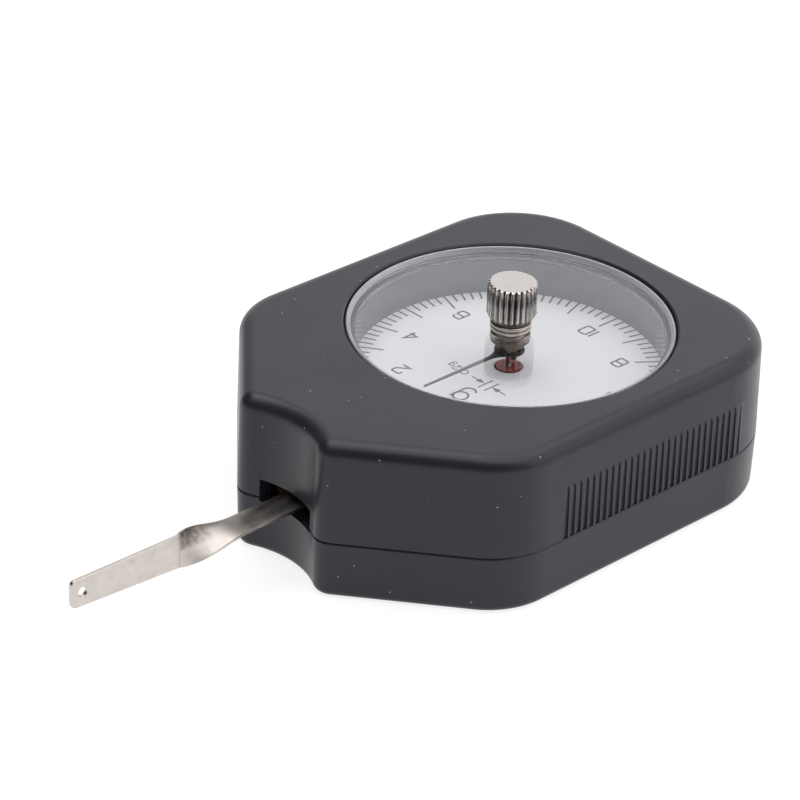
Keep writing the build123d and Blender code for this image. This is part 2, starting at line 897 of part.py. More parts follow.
# Dial plate with the centre hole that the driver disc turns in
with BuildPart() as dial_plate:
    with Locations((0, 0, dial_z)):
        post(dial_radius, dial_thickness)
    drill([(0, 0, dial_z)], dial_hole_radius, dial_thickness)
dial_plate.part.label = "dial_plate"
export_step(dial_plate.part, "parts/dial_plate.step")


# Dial feet: three posts pressed in the top plate, which hold the dial above it
with BuildPart() as dial_feet:
    with Locations(*[(x, y, top_plate_z) for x, y in dial_foot_places]):
        post(dial_foot_radius, plate_thickness + dial_lift)
dial_feet.part.label = "dial_feet"
export_step(dial_feet.part, "parts/dial_feet.step")


# Well ring: metal ring that stands on the rim of the dial and carries the crystal
with BuildPart() as well_ring:
    with BuildSketch(Plane.XY.offset(dial_top)):
        Circle(ring_radius)
        Circle(ring_radius - ring_wall, mode=Mode.SUBTRACT)
    extrude(amount=crystal_z - dial_top)
well_ring.part.label = "well_ring"
export_step(well_ring.part, "parts/well_ring.step")


# Crystal: clear disc with a raised rim, a bevel inside it and a sunken face
crystal_hole_radius = bush_shank_radius + press_gap
with BuildPart() as crystal:
    with BuildSketch(Plane.XZ):
        with BuildLine():
            Polyline(
                (crystal_hole_radius, crystal_z),
                (crystal_radius, crystal_z),
                (crystal_radius, crystal_top - crystal_edge_break),
                (crystal_radius - crystal_edge_break, crystal_top),
                (crystal_radius - crystal_rim_width, crystal_top),
                (crystal_radius - crystal_rim_width - crystal_bevel_width, crystal_face),
                (crystal_hole_radius, crystal_face),
                close=True,
            )
        make_face()
    revolve(axis=Axis.Z)
crystal.part.label = "crystal"
export_step(crystal.part, "parts/crystal.step")


# Crystal gasket: black ring between the crystal and the bore of the upper shell
gasket_z = body_height - gasket_sink - gasket_height
with BuildPart() as crystal_gasket:
    with BuildSketch(Plane.XY.offset(gasket_z)):
        Circle(bore_radius - press_gap)
        Circle(crystal_radius + press_gap, mode=Mode.SUBTRACT)
    extrude(amount=gasket_height)
crystal_gasket.part.label = "crystal_gasket"
export_step(crystal_gasket.part, "parts/crystal_gasket.step")


# Crystal bush: flanged bearing for the knob spindle, with a groove around its flange
bush_bore_radius = spindle_radius + running_gap
bush_z = crystal_z - bush_nut_height
bush_top = crystal_face + bush_flange_height
bush_groove_z = crystal_face + (bush_flange_height - bush_groove_height) / 2
with BuildPart() as crystal_bush:
    with BuildSketch(Plane.XZ):
        with BuildLine():
            Polyline(
                (bush_bore_radius, bush_z),
                (bush_shank_radius, bush_z),
                (bush_shank_radius, crystal_face),
                (bush_flange_radius, crystal_face),
                (bush_flange_radius, bush_groove_z),
                (bush_flange_radius - bush_groove_depth, bush_groove_z),
                (bush_flange_radius - bush_groove_depth, bush_groove_z + bush_groove_height),
                (bush_flange_radius, bush_groove_z + bush_groove_height),
                (bush_flange_radius, bush_top - bush_edge_break),
                (bush_flange_radius - bush_edge_break, bush_top),
                (bush_bore_radius, bush_top),
                close=True,
            )
        make_face()
    revolve(axis=Axis.Z)
crystal_bush.part.label = "crystal_bush"
export_step(crystal_bush.part, "parts/crystal_bush.step")


# Nut that holds the bush from below the crystal
with BuildPart() as bush_nut:
    with BuildSketch(Plane.XY.offset(bush_z)):
        Circle(bush_nut_radius)
        Circle(bush_shank_radius + thread_gap, mode=Mode.SUBTRACT)
    extrude(amount=bush_nut_height)
bush_nut.part.label = "bush_nut"
export_step(bush_nut.part, "parts/bush_nut.step")


# Driver disc on the dial arbor, level with the dial
hub_top = bush_z - hub_drop
hub_z = hub_top - hub_height
pin_x = driver_pin_orbit * cos(radians(driver_pin_angle))
pin_y = driver_pin_orbit * sin(radians(driver_pin_angle))
with BuildPart() as driver_disc:
    with BuildSketch(Plane.XY.offset(driver_disc_z)):
        Circle(driver_disc_radius)
        Circle(dial_arbor_top_radius + press_gap, mode=Mode.SUBTRACT)
        with Locations((pin_x, pin_y)):
            Circle(driver_pin_radius + press_gap, mode=Mode.SUBTRACT)
    extrude(amount=driver_disc_thickness)
driver_disc.part.label = "driver_disc"
export_step(driver_disc.part, "parts/driver_disc.step")


# Driver pin: stands in the disc and carries the pointer along by its dog
with BuildPart() as driver_pin:
    with Locations((pin_x, pin_y, driver_disc_z)):
        post(driver_pin_radius, hub_z - end_play - driver_disc_z)
driver_pin.part.label = "driver_pin"
export_step(driver_pin.part, "parts/driver_pin.step")


# Pointer dog: hangs from the pointer hub and rests against the driver pin
dog_offset = 2 * asin((driver_pin_radius + dog_radius + dog_gap) / (2 * driver_pin_orbit))
dog_angle = radians(driver_pin_angle) - dog_offset
dog_place = (driver_pin_orbit * cos(dog_angle), driver_pin_orbit * sin(dog_angle))
dog_z = driver_disc_top + dog_ground_gap
with BuildPart() as pointer_dog:
    with Locations((*dog_place, dog_z)):
        post(dog_radius, hub_z - dog_z)
    with Locations((*dog_place, hub_z)):
        post(dog_spigot_radius, hub_height / 2)
pointer_dog.part.label = "pointer_dog"
export_step(pointer_dog.part, "parts/pointer_dog.step")


# Pointer hub: collar on the lower end of the spindle
with BuildPart() as pointer_hub:
    with Locations((0, 0, hub_z)):
        post(hub_radius, hub_height)
    drill([(0, 0, hub_z)], spindle_radius + press_gap, hub_height)
    drill([(*dog_place, hub_z)], dog_spigot_radius + press_gap, hub_height / 2)
pointer_hub.part.label = "pointer_hub"
export_step(pointer_hub.part, "parts/pointer_hub.step")


# Pointer needle: ring around the hub and a tapered blade that points at the lever
needle_z = hub_z + needle_lift
needle_waist_y = -needle_reach * needle_waist_share
with BuildPart() as pointer_needle:
    with BuildSketch(Plane.XY.offset(needle_z)):
        with BuildLine():
            Polyline(
                (needle_root_width / 2, -hub_radius),
                (needle_waist_width / 2, needle_waist_y),
                (needle_tip_width / 2, -needle_reach),
                (-needle_tip_width / 2, -needle_reach),
                (-needle_waist_width / 2, needle_waist_y),
                (-needle_root_width / 2, -hub_radius),
                close=True,
            )
        make_face()
        Circle(needle_ring_radius)
        Circle(hub_radius + press_gap, mode=Mode.SUBTRACT)
    extrude(amount=needle_thickness)
pointer_needle.part.label = "pointer_needle"
export_step(pointer_needle.part, "parts/pointer_needle.step")


# Friction washer between the bush and the knob
washer_z = bush_top + running_gap
with BuildPart() as friction_washer:
    with BuildSketch(Plane.XY.offset(washer_z)):
        Circle(washer_radius)
        Circle(washer_inner_radius, mode=Mode.SUBTRACT)
    extrude(amount=washer_thickness)
friction_washer.part.label = "friction_washer"
export_step(friction_washer.part, "parts/friction_washer.step")


# Knob: fluted head on a plain collar, with a blind bore for the spindle
knob_z = washer_z + washer_thickness
knob_head_z = knob_z + knob_collar_height
knob_top = knob_head_z + knob_height
knob_bore_top = knob_z + knob_bore_depth
knob_bore_radius = spindle_radius + press_gap
with BuildPart() as knob:
    with BuildSketch(Plane.XZ):
        with BuildLine():
            Polyline(
                (knob_bore_radius, knob_z),
                (knob_collar_radius, knob_z),
                (knob_collar_radius, knob_head_z),
                (knob_radius - knob_lower_bevel, knob_head_z),
                (knob_radius, knob_head_z + knob_lower_bevel_height),
                (knob_radius, knob_top - knob_bevel),
                (knob_radius - knob_bevel, knob_top),
                (0, knob_top),
                (0, knob_bore_top),
                (knob_bore_radius, knob_bore_top),
                close=True,
            )
        make_face()
    revolve(axis=Axis.Z)
    with BuildSketch(Plane.XY.offset(knob_head_z)):
        with PolarLocations(knob_radius, knob_flutes):
            Polygon(
                (-knob_flute_depth, 0),
                (knob_flute_depth, -knob_flute_width),
                (knob_flute_depth, knob_flute_width),
                align=None,
            )
    extrude(amount=knob_height, mode=Mode.SUBTRACT)
knob.part.label = "knob"
export_step(knob.part, "parts/knob.step")


# Knob spindle: runs in the bush and joins the knob to the pointer hub
with BuildPart() as knob_spindle:
    with Locations((0, 0, hub_z)):
        post(spindle_radius, knob_bore_top - end_play - hub_z)
knob_spindle.part.label = "knob_spindle"
export_step(knob_spindle.part, "parts/knob_spindle.step")
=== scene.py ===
"""Dial tension gauge: the finish of each piece and a plain studio around it.

Shapes are worked out in millimetres and scaled to metres when they are made. The frame is that of
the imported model: +Z up through the dial, the lever along -Y, the origin below the dial axis.
"""
import json
from math import cos, pi, radians, sin, sqrt, tan

import bmesh
import bpy
from mathutils import Matrix, Vector


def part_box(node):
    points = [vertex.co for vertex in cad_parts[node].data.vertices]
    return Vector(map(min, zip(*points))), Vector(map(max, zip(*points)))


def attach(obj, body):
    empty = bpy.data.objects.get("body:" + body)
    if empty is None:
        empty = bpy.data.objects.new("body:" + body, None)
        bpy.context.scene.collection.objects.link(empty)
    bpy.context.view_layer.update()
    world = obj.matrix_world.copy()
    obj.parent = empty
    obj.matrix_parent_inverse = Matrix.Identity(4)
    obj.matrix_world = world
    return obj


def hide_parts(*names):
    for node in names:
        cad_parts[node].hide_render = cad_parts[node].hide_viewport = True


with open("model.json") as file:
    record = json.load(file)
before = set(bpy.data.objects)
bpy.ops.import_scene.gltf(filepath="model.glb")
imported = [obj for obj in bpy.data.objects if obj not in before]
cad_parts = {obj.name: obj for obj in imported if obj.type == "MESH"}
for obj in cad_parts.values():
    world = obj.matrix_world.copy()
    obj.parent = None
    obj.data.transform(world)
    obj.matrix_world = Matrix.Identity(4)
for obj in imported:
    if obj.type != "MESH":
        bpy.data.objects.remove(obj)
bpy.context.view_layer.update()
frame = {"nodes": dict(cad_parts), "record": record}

MM = 0.001
scene = bpy.context.scene
scene.view_settings.view_transform = "Standard"


def node_box(name):
    """Lowest and highest corner of a node in millimetres."""
    low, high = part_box(name)
    return low / MM, high / MM


# Sizes that both a finish and a shape need
CRYSTAL_LOW, CRYSTAL_HIGH = node_box("crystal")
CRYSTAL_SINK = 0.6
CRYSTAL_RIM = 0.35
CRYSTAL_BEVEL = 0.3
CRYSTAL_FACE = CRYSTAL_HIGH.z - CRYSTAL_SINK
FACE_RADIUS = CRYSTAL_HIGH.x - CRYSTAL_RIM - CRYSTAL_BEVEL
KNOB_LOW, KNOB_HIGH = node_box("knob")
TWIST_START = -51.5
TWIST_END = -62.0


# Mesh helpers
SMOOTH_ANGLE = 32.0
MERGE_DISTANCE = 1e-4
LARGEST_BEND_SHARE = 0.49


def make_mesh(name, shape):
    """Mesh in metres from vertices and faces in millimetres, with its faces turned outwards."""
    vertices, faces = shape
    mesh = bpy.data.meshes.new(name)
    work = bmesh.new()
    corners = [work.verts.new(Vector(point) * MM) for point in vertices]
    for face in faces:
        work.faces.new([corners[index] for index in face])
    bmesh.ops.remove_doubles(work, verts=work.verts, dist=MERGE_DISTANCE * MM)
    bmesh.ops.recalc_face_normals(work, faces=work.faces)
    work.to_mesh(mesh)
    work.free()
    return mesh


def make_piece(name, shape, body, slot, replaced=(), look=None):
    """Piece that rides on a body, in the material of its slot or, where one is given, in another look."""
    mesh = make_mesh(name, shape)
    mesh.polygons.foreach_set("use_smooth", [True] * len(mesh.polygons))
    mesh.set_sharp_from_angle(angle=radians(SMOOTH_ANGLE))
    mesh.materials.append(MATERIALS[look or slot])
    piece = bpy.data.objects.new(name, mesh)
    scene.collection.objects.link(piece)
    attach(piece, body)
    if replaced:
        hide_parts(*replaced)
    return piece


def rounded(points, radius, closed=True, steps=4):
    """The same outline with a round bend at each corner, which may bring its own radius third."""
    result = []
    count = len(points)
    for index, point in enumerate(points):
        corner = Vector(point[:2])
        size = point[2] if len(point) > 2 else radius
        at_end = not closed and index in (0, count - 1)
        if at_end or size == 0:
            result.append(tuple(corner))
            continue
        before = Vector(points[index - 1][:2]) - corner
        after = Vector(points[(index + 1) % count][:2]) - corner
        longest = LARGEST_BEND_SHARE * min(before.length, after.length)
        reach = min(size / tan(before.angle(after) / 2), longest)
        start = corner + before.normalized() * reach
        end = corner + after.normalized() * reach
        for step in range(steps + 1):
            share = step / steps
            near = start.lerp(corner, share).lerp(corner.lerp(end, share), share)
            result.append(tuple(near))
    return result


def revolved(profile, segments):
    """A closed profile of (radius, height) turned around the dial axis."""
    count = len(profile)
    vertices = []
    faces = []
    for turn in range(segments):
        angle = 2 * pi * turn / segments
        vertices += [(r * cos(angle), r * sin(angle), z) for r, z in profile]
    for turn in range(segments):
        here = turn * count
        there = (turn + 1) % segments * count
        for index in range(count):
            following = (index + 1) % count
            if profile[index][0] or profile[following][0]:
                ring = (here + index, here + following, there + following, there + index)
                faces.append(ring)
    return vertices, faces


def stacked(rings):
    """Closed skin over rings of equal point counts, with a flat face at both ends."""
    count = len(rings[0])
    vertices = [point for ring in rings for point in ring]
    faces = []
    for level in range(len(rings) - 1):
        low = level * count
        high = low + count
        for index in range(count):
            following = (index + 1) % count
            faces.append((low + index, low + following, high + following, high + index))
    faces.append(tuple(reversed(range(count))))
    faces.append(tuple(range(len(vertices) - count, len(vertices))))
    return vertices, faces


def joined(shapes):
    """Several shapes as one."""
    vertices = []
    faces = []
    for some_vertices, some_faces in shapes:
        offset = len(vertices)
        vertices += some_vertices
        faces += [tuple(index + offset for index in face) for face in some_faces]
    return vertices, faces


def prism(outline, low, high):
    """Upright prism over an outline."""
    return stacked([[(x, y, z) for x, y in outline] for z in (low, high)])


# Node helpers, and the places of the mix node's colour sockets among its sockets
MIX_FACTOR = 0
MIX_FIRST = 6
MIX_SECOND = 7
MIX_RESULT = 2


def add_node(tree, kind, inputs=None, **settings):
    """A shader node with its settings, its input values and its links."""
    node = tree.nodes.new(kind)
    for key, value in settings.items():
        setattr(node, key, value)
    for key, value in (inputs or {}).items():
        if isinstance(value, bpy.types.NodeSocket):
            tree.links.new(value, node.inputs[key])
        else:
            node.inputs[key].default_value = value
    return node


def calculated(tree, operation, *values):
    """What an operation makes of its values."""
    node = add_node(tree, "ShaderNodeMath", dict(enumerate(values)), operation=operation)
    return node.outputs[0]


def blended(tree, share, first, second):
    """Two colours mixed by a share."""
    inputs = {MIX_FACTOR: share, MIX_FIRST: first, MIX_SECOND: second}
    return add_node(tree, "ShaderNodeMix", inputs, data_type="RGBA").outputs[MIX_RESULT]


def mixed_shader(tree, share, first, second):
    """Two shaders mixed by a share."""
    return add_node(tree, "ShaderNodeMixShader", {0: share, 1: first, 2: second}).outputs[0]


def finish_with(tree, output_name, shader_socket):
    """Send a shader to the output of a material or a world."""
    tree.links.new(shader_socket, tree.nodes[output_name].inputs["Surface"])


def seen_directly(tree, path):
    """One where the camera looks, also through glass, and nothing for other light."""
    camera_ray = path.outputs["Is Camera Ray"]
    return calculated(tree, "MAXIMUM", camera_ray, path.outputs["Is Transmission Ray"])


def place(tree, stretch=(1, 1, 1)):
    """Position on the piece in millimetres, with a stretch for each axis."""
    source = add_node(tree, "ShaderNodeTexCoord").outputs["Object"]
    scale = tuple(value / MM for value in stretch)
    return add_node(tree, "ShaderNodeMapping", {"Vector": source, "Scale": scale}).outputs["Vector"]


# Pattern helpers
NOISE_LOW = 0.3
NOISE_HIGH = 0.7
SPECK_CORE_SHARE = 0.6


def noise(tree, size, detail=3.0, stretch=(1, 1, 1)):
    """Noise whose lumps are about as large as size, in millimetres."""
    inputs = {"Vector": place(tree, stretch), "Scale": 1 / size, "Detail": detail}
    return add_node(tree, "ShaderNodeTexNoise", inputs).outputs["Fac"]


def spread(tree, value, low, high, start=NOISE_LOW, stop=NOISE_HIGH):
    """A value between start and stop taken to the range from low to high."""
    inputs = {"Value": value, "From Min": start, "From Max": stop, "To Min": low, "To Max": high}
    return add_node(tree, "ShaderNodeMapRange", inputs).outputs["Result"]


def along(tree, axis, low, high):
    """Share that grows from nothing to one between two places on an axis, or between two radii."""
    point = place(tree)
    if axis == "Radius":
        flat = add_node(tree, "ShaderNodeVectorMath", {0: point, 1: (1, 1, 0)}, operation="MULTIPLY")
        inputs = {0: flat.outputs["Vector"]}
        value = add_node(tree, "ShaderNodeVectorMath", inputs, operation="LENGTH").outputs["Value"]
    else:
        value = add_node(tree, "ShaderNodeSeparateXYZ", {0: point}).outputs[axis]
    return spread(tree, value, 0, 1, low, high)


def band(tree, axis, low, high, soft):
    """Share that is one between two places on an axis and fades out beside them."""
    rise = along(tree, axis, low - soft, low)
    fall = along(tree, axis, high + soft, high)
    return calculated(tree, "MULTIPLY", rise, fall)


def specks(tree, spacing, size, kept):
    """Scattered round specks: cells of a spacing, of which only a share holds one."""
    inputs = {"Vector": place(tree), "Scale": 1 / spacing, "Randomness": 1.0}
    cells = add_node(tree, "ShaderNodeTexVoronoi", inputs)
    edge = size / spacing
    near = spread(tree, cells.outputs["Distance"], 1, 0, edge * SPECK_CORE_SHARE, edge)
    chosen = add_node(tree, "ShaderNodeSeparateColor", {"Color": cells.outputs["Color"]})
    picked = calculated(tree, "LESS_THAN", chosen.outputs["Red"], kept)
    return calculated(tree, "MULTIPLY", near, picked)


# Surface helpers
SMUDGE_SHARE = 0.6
SMUDGE_DETAIL = 5
GRAIN_DETAIL = 2


def shaded(colour, share):
    """A colour made lighter or darker by a share of itself."""
    return tuple(min(1, value * (1 + share)) for value in colour[:3]) + (1,)


def relief(tree, height, depth):
    """Bump whose highest points stand depth millimetres proud."""
    inputs = {"Height": height, "Distance": depth * MM, "Strength": 1.0}
    return add_node(tree, "ShaderNodeBump", inputs).outputs["Normal"]


def shader_of(material):
    """The shader that carries a material's colour and gloss."""
    return material.node_tree.nodes["Principled BSDF"]


def surface(
    name,
    colour,
    roughness,
    metallic=0.0,
    tint=0.08,
    gloss_change=0.06,
    patch=3.0,
    grain=0.2,
    grain_depth=0.004,
    stretch=(1, 1, 1),
    ior=1.5,
):
    """Material with patchy colour, uneven gloss and a fine grain in relief, sized in millimetres."""
    material = bpy.data.materials.new(name)
    material.use_nodes = True
    tree = material.node_tree
    shader = shader_of(material)
    patches = spread(tree, noise(tree, patch), 0, 1)
    colours = blended(tree, patches, shaded(colour, -tint), shaded(colour, tint))
    smudges = noise(tree, patch * SMUDGE_SHARE, SMUDGE_DETAIL, stretch)
    gloss = spread(tree, smudges, roughness - gloss_change, roughness + gloss_change)
    bump = relief(tree, noise(tree, grain, GRAIN_DETAIL, stretch), grain_depth)
    tree.links.new(colours, shader.inputs["Base Color"])
    tree.links.new(gloss, shader.inputs["Roughness"])
    tree.links.new(bump, shader.inputs["Normal"])
    shader.inputs["Metallic"].default_value = metallic
    shader.inputs["IOR"].default_value = ior
    return material


def overlay(material, share, colour):
    """Lay a second colour over a material's colour where the share is one."""
    tree = material.node_tree
    socket = shader_of(material).inputs["Base Color"]
    under = socket.links[0].from_socket
    tree.links.new(blended(tree, share, under, colour), socket)


# Housing plastic, with painted light in the grip grooves, and the places of those grooves: how far out,
# how long and how high they are
HOUSING_BLACK = (0.0155, 0.0155, 0.023)
HOUSING_SHEEN = (0.94, 0.94, 1.0, 1)
DUST = (0.30, 0.30, 0.31, 1)
GROOVE_PAINTED_LIGHT = (0.06, 0.06, 0.07, 1)
GRIP_MOUTH = 29.81
GRIP_FLOOR = 29.72
GRIP_ALONG = (-18.0, 18.5)
GRIP_UP = (9.1, 17.6)
GRIP_FADE = 0.1


def housing_plastic():
    """Satin black moulding with a fine spark texture and a little dust, and painted light that makes the
    grooves greyer inside.
    """
    material = surface(
        "housing_plastic", HOUSING_BLACK, roughness=0.33, tint=0.12, gloss_change=0.025, patch=11,
        grain=0.12, grain_depth=0.0012, ior=1.45,
    )
    shader_of(material).inputs["Specular Tint"].default_value = HOUSING_SHEEN
    tree = material.node_tree
    lengthwise = band(tree, "Y", *GRIP_ALONG, GRIP_FADE)
    upright = band(tree, "Z", *GRIP_UP, GRIP_FADE)
    panel = calculated(tree, "MULTIPLY", lengthwise, upright)
    within_right = along(tree, "X", GRIP_MOUTH, GRIP_FLOOR)
    within_left = along(tree, "X", -GRIP_MOUTH, -GRIP_FLOOR)
    within = calculated(tree, "MULTIPLY", within_right, within_left)
    # Painted light: the insides of the grip grooves are painted a lighter grey, standing in for light
    # that reaches into them
    overlay(material, calculated(tree, "MULTIPLY", panel, within), GROOVE_PAINTED_LIGHT)
    overlay(material, specks(tree, spacing=1.8, size=0.15, kept=0.32), DUST)
    return material


# Crystal plastic
ACRYLIC_TINT = (0.985, 0.99, 0.995, 1)
ACRYLIC_SHADOW = (0.96, 0.96, 0.96, 1)
ACRYLIC_IOR = 1.49
EDGE_FADE = 0.05
EDGE_ROUGHNESS = 0.3
EDGE_FROST = 0.18


def clear_plastic():
    """Clear acrylic with a satin edge, which lets light fall straight through to the dial."""
    material = bpy.data.materials.new("crystal_clear")
    material.use_nodes = True
    tree = material.node_tree
    shader = shader_of(material)
    shader.inputs["Base Color"].default_value = ACRYLIC_TINT
    shader.inputs["IOR"].default_value = ACRYLIC_IOR
    haze = spread(tree, noise(tree, size=6, detail=4), low=0.0, high=0.012, start=0.45, stop=0.8)
    edge = along(tree, "Radius", FACE_RADIUS - EDGE_FADE, FACE_RADIUS)
    gloss = calculated(tree, "MULTIPLY_ADD", edge, EDGE_ROUGHNESS, haze)
    clearness = calculated(tree, "MULTIPLY_ADD", edge, -EDGE_FROST, 1.0)
    tree.links.new(gloss, shader.inputs["Roughness"])
    tree.links.new(clearness, shader.inputs["Transmission Weight"])
    path = add_node(tree, "ShaderNodeLightPath")
    shadow_ray = path.outputs["Is Shadow Ray"]
    passed = calculated(tree, "MAXIMUM", shadow_ray, path.outputs["Is Diffuse Ray"])
    through = add_node(tree, "ShaderNodeBsdfTransparent", {"Color": ACRYLIC_SHADOW})
    mixed = mixed_shader(tree, passed, shader.outputs[0], through.outputs[0])
    finish_with(tree, "Material Output", mixed)
    return material


# Knob metal; the painted shade in its valleys fades out between two depths below the crests and below the
# top
KNOB_NICKEL = (0.60, 0.565, 0.545)
KNOB_SHADE_AND_STREAKS = (0.17, 0.14, 0.13, 1)
VALLEY_DEEP = 0.32
VALLEY_SHALLOW = 0.10
TOP_FADE_DEEP = 0.36
TOP_FADE_SHALLOW = 0.05
STREAKS_SHALLOW = 0.1
STREAKS_DEEP = 0.3
STREAK_STRETCH = (1, 1, 0.01)


def knob_metal():
    """Nickel plate with a fine turned finish, with painted shade in the valleys of the fluting and dark
    streaks below the top.
    """
    material = surface(
        "knob_nickel", KNOB_NICKEL, roughness=0.18, metallic=1.0, tint=0.03, gloss_change=0.03,
        patch=1.6, grain=0.10, grain_depth=0.0008,
    )
    tree = material.node_tree
    crests = along(tree, "Radius", KNOB_HIGH.x - VALLEY_DEEP, KNOB_HIGH.x - VALLEY_SHALLOW)
    top = along(tree, "Z", KNOB_HIGH.z - TOP_FADE_DEEP, KNOB_HIGH.z - TOP_FADE_SHALLOW)
    # Painted shade: the valleys of the fluting are painted dark, away from the crests and the top
    valleys = calculated(tree, "SUBTRACT", 1.0, calculated(tree, "MAXIMUM", crests, top))
    overlay(material, valleys, KNOB_SHADE_AND_STREAKS)
    below_top = along(tree, "Z", KNOB_HIGH.z - STREAKS_SHALLOW, KNOB_HIGH.z - STREAKS_DEEP)
    pattern = noise(tree, size=0.22, detail=2, stretch=STREAK_STRETCH)
    streaks = spread(tree, pattern, low=0, high=0.7, start=0.48, stop=0.58)
    overlay(material, calculated(tree, "MULTIPLY", streaks, below_top), KNOB_SHADE_AND_STREAKS)
    return material


# Lever metal, with painted shade at the twist; the stretches along the lever are given by their two ends
# and the width of their fade
LEVER_NICKEL = (0.60, 0.555, 0.515)
# Worn colour, used both for random wear and for painted shade where the twist starts and along its crease
WORN_AND_SHADED_NICKEL = (0.30, 0.27, 0.25, 1)
# Colour of the painted shade on the twist
TWIST_PAINTED_SHADE = (0.20, 0.17, 0.155, 1)
CREASE_LIGHTER = 0.5
SHADE_PATCHES_ALONG = (TWIST_END + 0.5, TWIST_END + 5.5, 0.8)
SHADE_PATCHES_UP = (10.5, 11.2)
FAR_EDGE_ALONG = (TWIST_END + 2.0, TWIST_START + 1.5, 1.0)
FAR_EDGE_ACROSS = (-0.8, -1.7)
FAR_EDGE_UP = (11.4, 12.2)
FAR_EDGE_SHARE = 0.8
TWIST_START_SHADE_ALONG = (TWIST_START - 1.0, TWIST_START + 1.5, 1.8)
CREASE_SHADE_ALONG = (TWIST_END - 0.05, TWIST_END + 0.03, 0.04)
SATIN_ALONG = (TWIST_END, TWIST_START - 0.5, 1.5)
SATIN_ROUGHNESS = 0.14
LEVER_STRETCH = (1, 0.2, 1)


def lever_metal():
    """Nickel plated strip, satin at the twist, with random wear, and painted shade there: dark patches on
    its upper half, a dark far edge, a dark band where the twist starts and a dark crease line.
    """
    material = surface(
        "lever_nickel", LEVER_NICKEL, roughness=0.30, metallic=1.0, tint=0.05, gloss_change=0.05,
        patch=2.0, grain=0.16, grain_depth=0.0015, stretch=LEVER_STRETCH,
    )
    tree = material.node_tree
    wear = spread(tree, noise(tree, size=1.1, detail=6), low=0, high=0.25, start=0.58, stop=0.72)
    overlay(material, wear, WORN_AND_SHADED_NICKEL)
    # Painted shade: dark blotches on the upper half of the twist
    pattern = noise(tree, size=0.9, detail=8)
    shade_blotches = spread(tree, pattern, low=0.45, high=1.0, start=0.40, stop=0.62)
    twist = band(tree, "Y", *SHADE_PATCHES_ALONG)
    upper = calculated(tree, "MULTIPLY", twist, along(tree, "Z", *SHADE_PATCHES_UP))
    overlay(material, calculated(tree, "MULTIPLY", upper, shade_blotches), TWIST_PAINTED_SHADE)
    # Painted shade: the twist is painted darker towards its far side and along its upper edge
    across = along(tree, "X", *FAR_EDGE_ACROSS)
    far_edge = calculated(tree, "MAXIMUM", across, along(tree, "Z", *FAR_EDGE_UP))
    edge_shade = calculated(tree, "MULTIPLY", far_edge, band(tree, "Y", *FAR_EDGE_ALONG))
    overlay(material, calculated(tree, "MULTIPLY", edge_shade, FAR_EDGE_SHARE), TWIST_PAINTED_SHADE)
    # Painted shade: a dark band across the lever where the twist starts
    overlay(material, band(tree, "Y", *TWIST_START_SHADE_ALONG), WORN_AND_SHADED_NICKEL)
    # Painted shade: a thin dark line along the crease where the twist ends
    overlay(material, band(tree, "Y", *CREASE_SHADE_ALONG), shaded(WORN_AND_SHADED_NICKEL, CREASE_LIGHTER))
    gloss = shader_of(material).inputs["Roughness"]
    satin = band(tree, "Y", *SATIN_ALONG)
    even_gloss = gloss.links[0].from_socket
    tree.links.new(calculated(tree, "MULTIPLY_ADD", satin, SATIN_ROUGHNESS, even_gloss), gloss)
    return material


# Bush metal; its painted shade fades out from just below the crystal's face to just above it
DULL_NICKEL = (0.56, 0.51, 0.46)
BUSH_PAINTED_SHADE = (0.15, 0.12, 0.10, 1)
PAINTED_SHADE_LOW = CRYSTAL_FACE - 0.02
PAINTED_SHADE_HIGH = CRYSTAL_FACE + 0.1


def dull_nickel():
    """Dull nickel plate, with painted shade that makes it dark below the crystal's face."""
    material = surface(
        "nickel_plate", DULL_NICKEL, roughness=0.24, metallic=1.0, tint=0.05, gloss_change=0.03,
        patch=0.9, grain=0.09, grain_depth=0.0005,
    )
    tree = material.node_tree
    # Painted shade: everything below the crystal's face is painted dark
    above = along(tree, "Z", PAINTED_SHADE_LOW, PAINTED_SHADE_HIGH)
    overlay(material, calculated(tree, "SUBTRACT", 1.0, above), BUSH_PAINTED_SHADE)
    return material


# Plain finishes
DIAL_WHITE = (0.665, 0.66, 0.69)
DIAL_PRINT = (0.035, 0.035, 0.04)
RING_GREY = (0.085, 0.085, 0.125)
GASKET_BLACK = (0.004, 0.004, 0.004)
DRIVER_RED = (0.29, 0.062, 0.066)
POINTER_BLACK = (0.02, 0.02, 0.022)

# Plain metals: colour, roughness and size of the grain
METAL_LOOKS = {
    "blued_steel": ((0.05, 0.05, 0.056), 0.35, 0.1),
    "movement_brass": ((0.72, 0.55, 0.28), 0.35, 0.2),
    "gear_brass": ((0.75, 0.58, 0.29), 0.3, 0.2),
    "screw_steel": ((0.6, 0.6, 0.6), 0.25, 0.08),
    "bushing_bronze": ((0.6, 0.4, 0.22), 0.35, 0.2),
    "spring_steel": ((0.45, 0.46, 0.5), 0.25, 0.2),
}

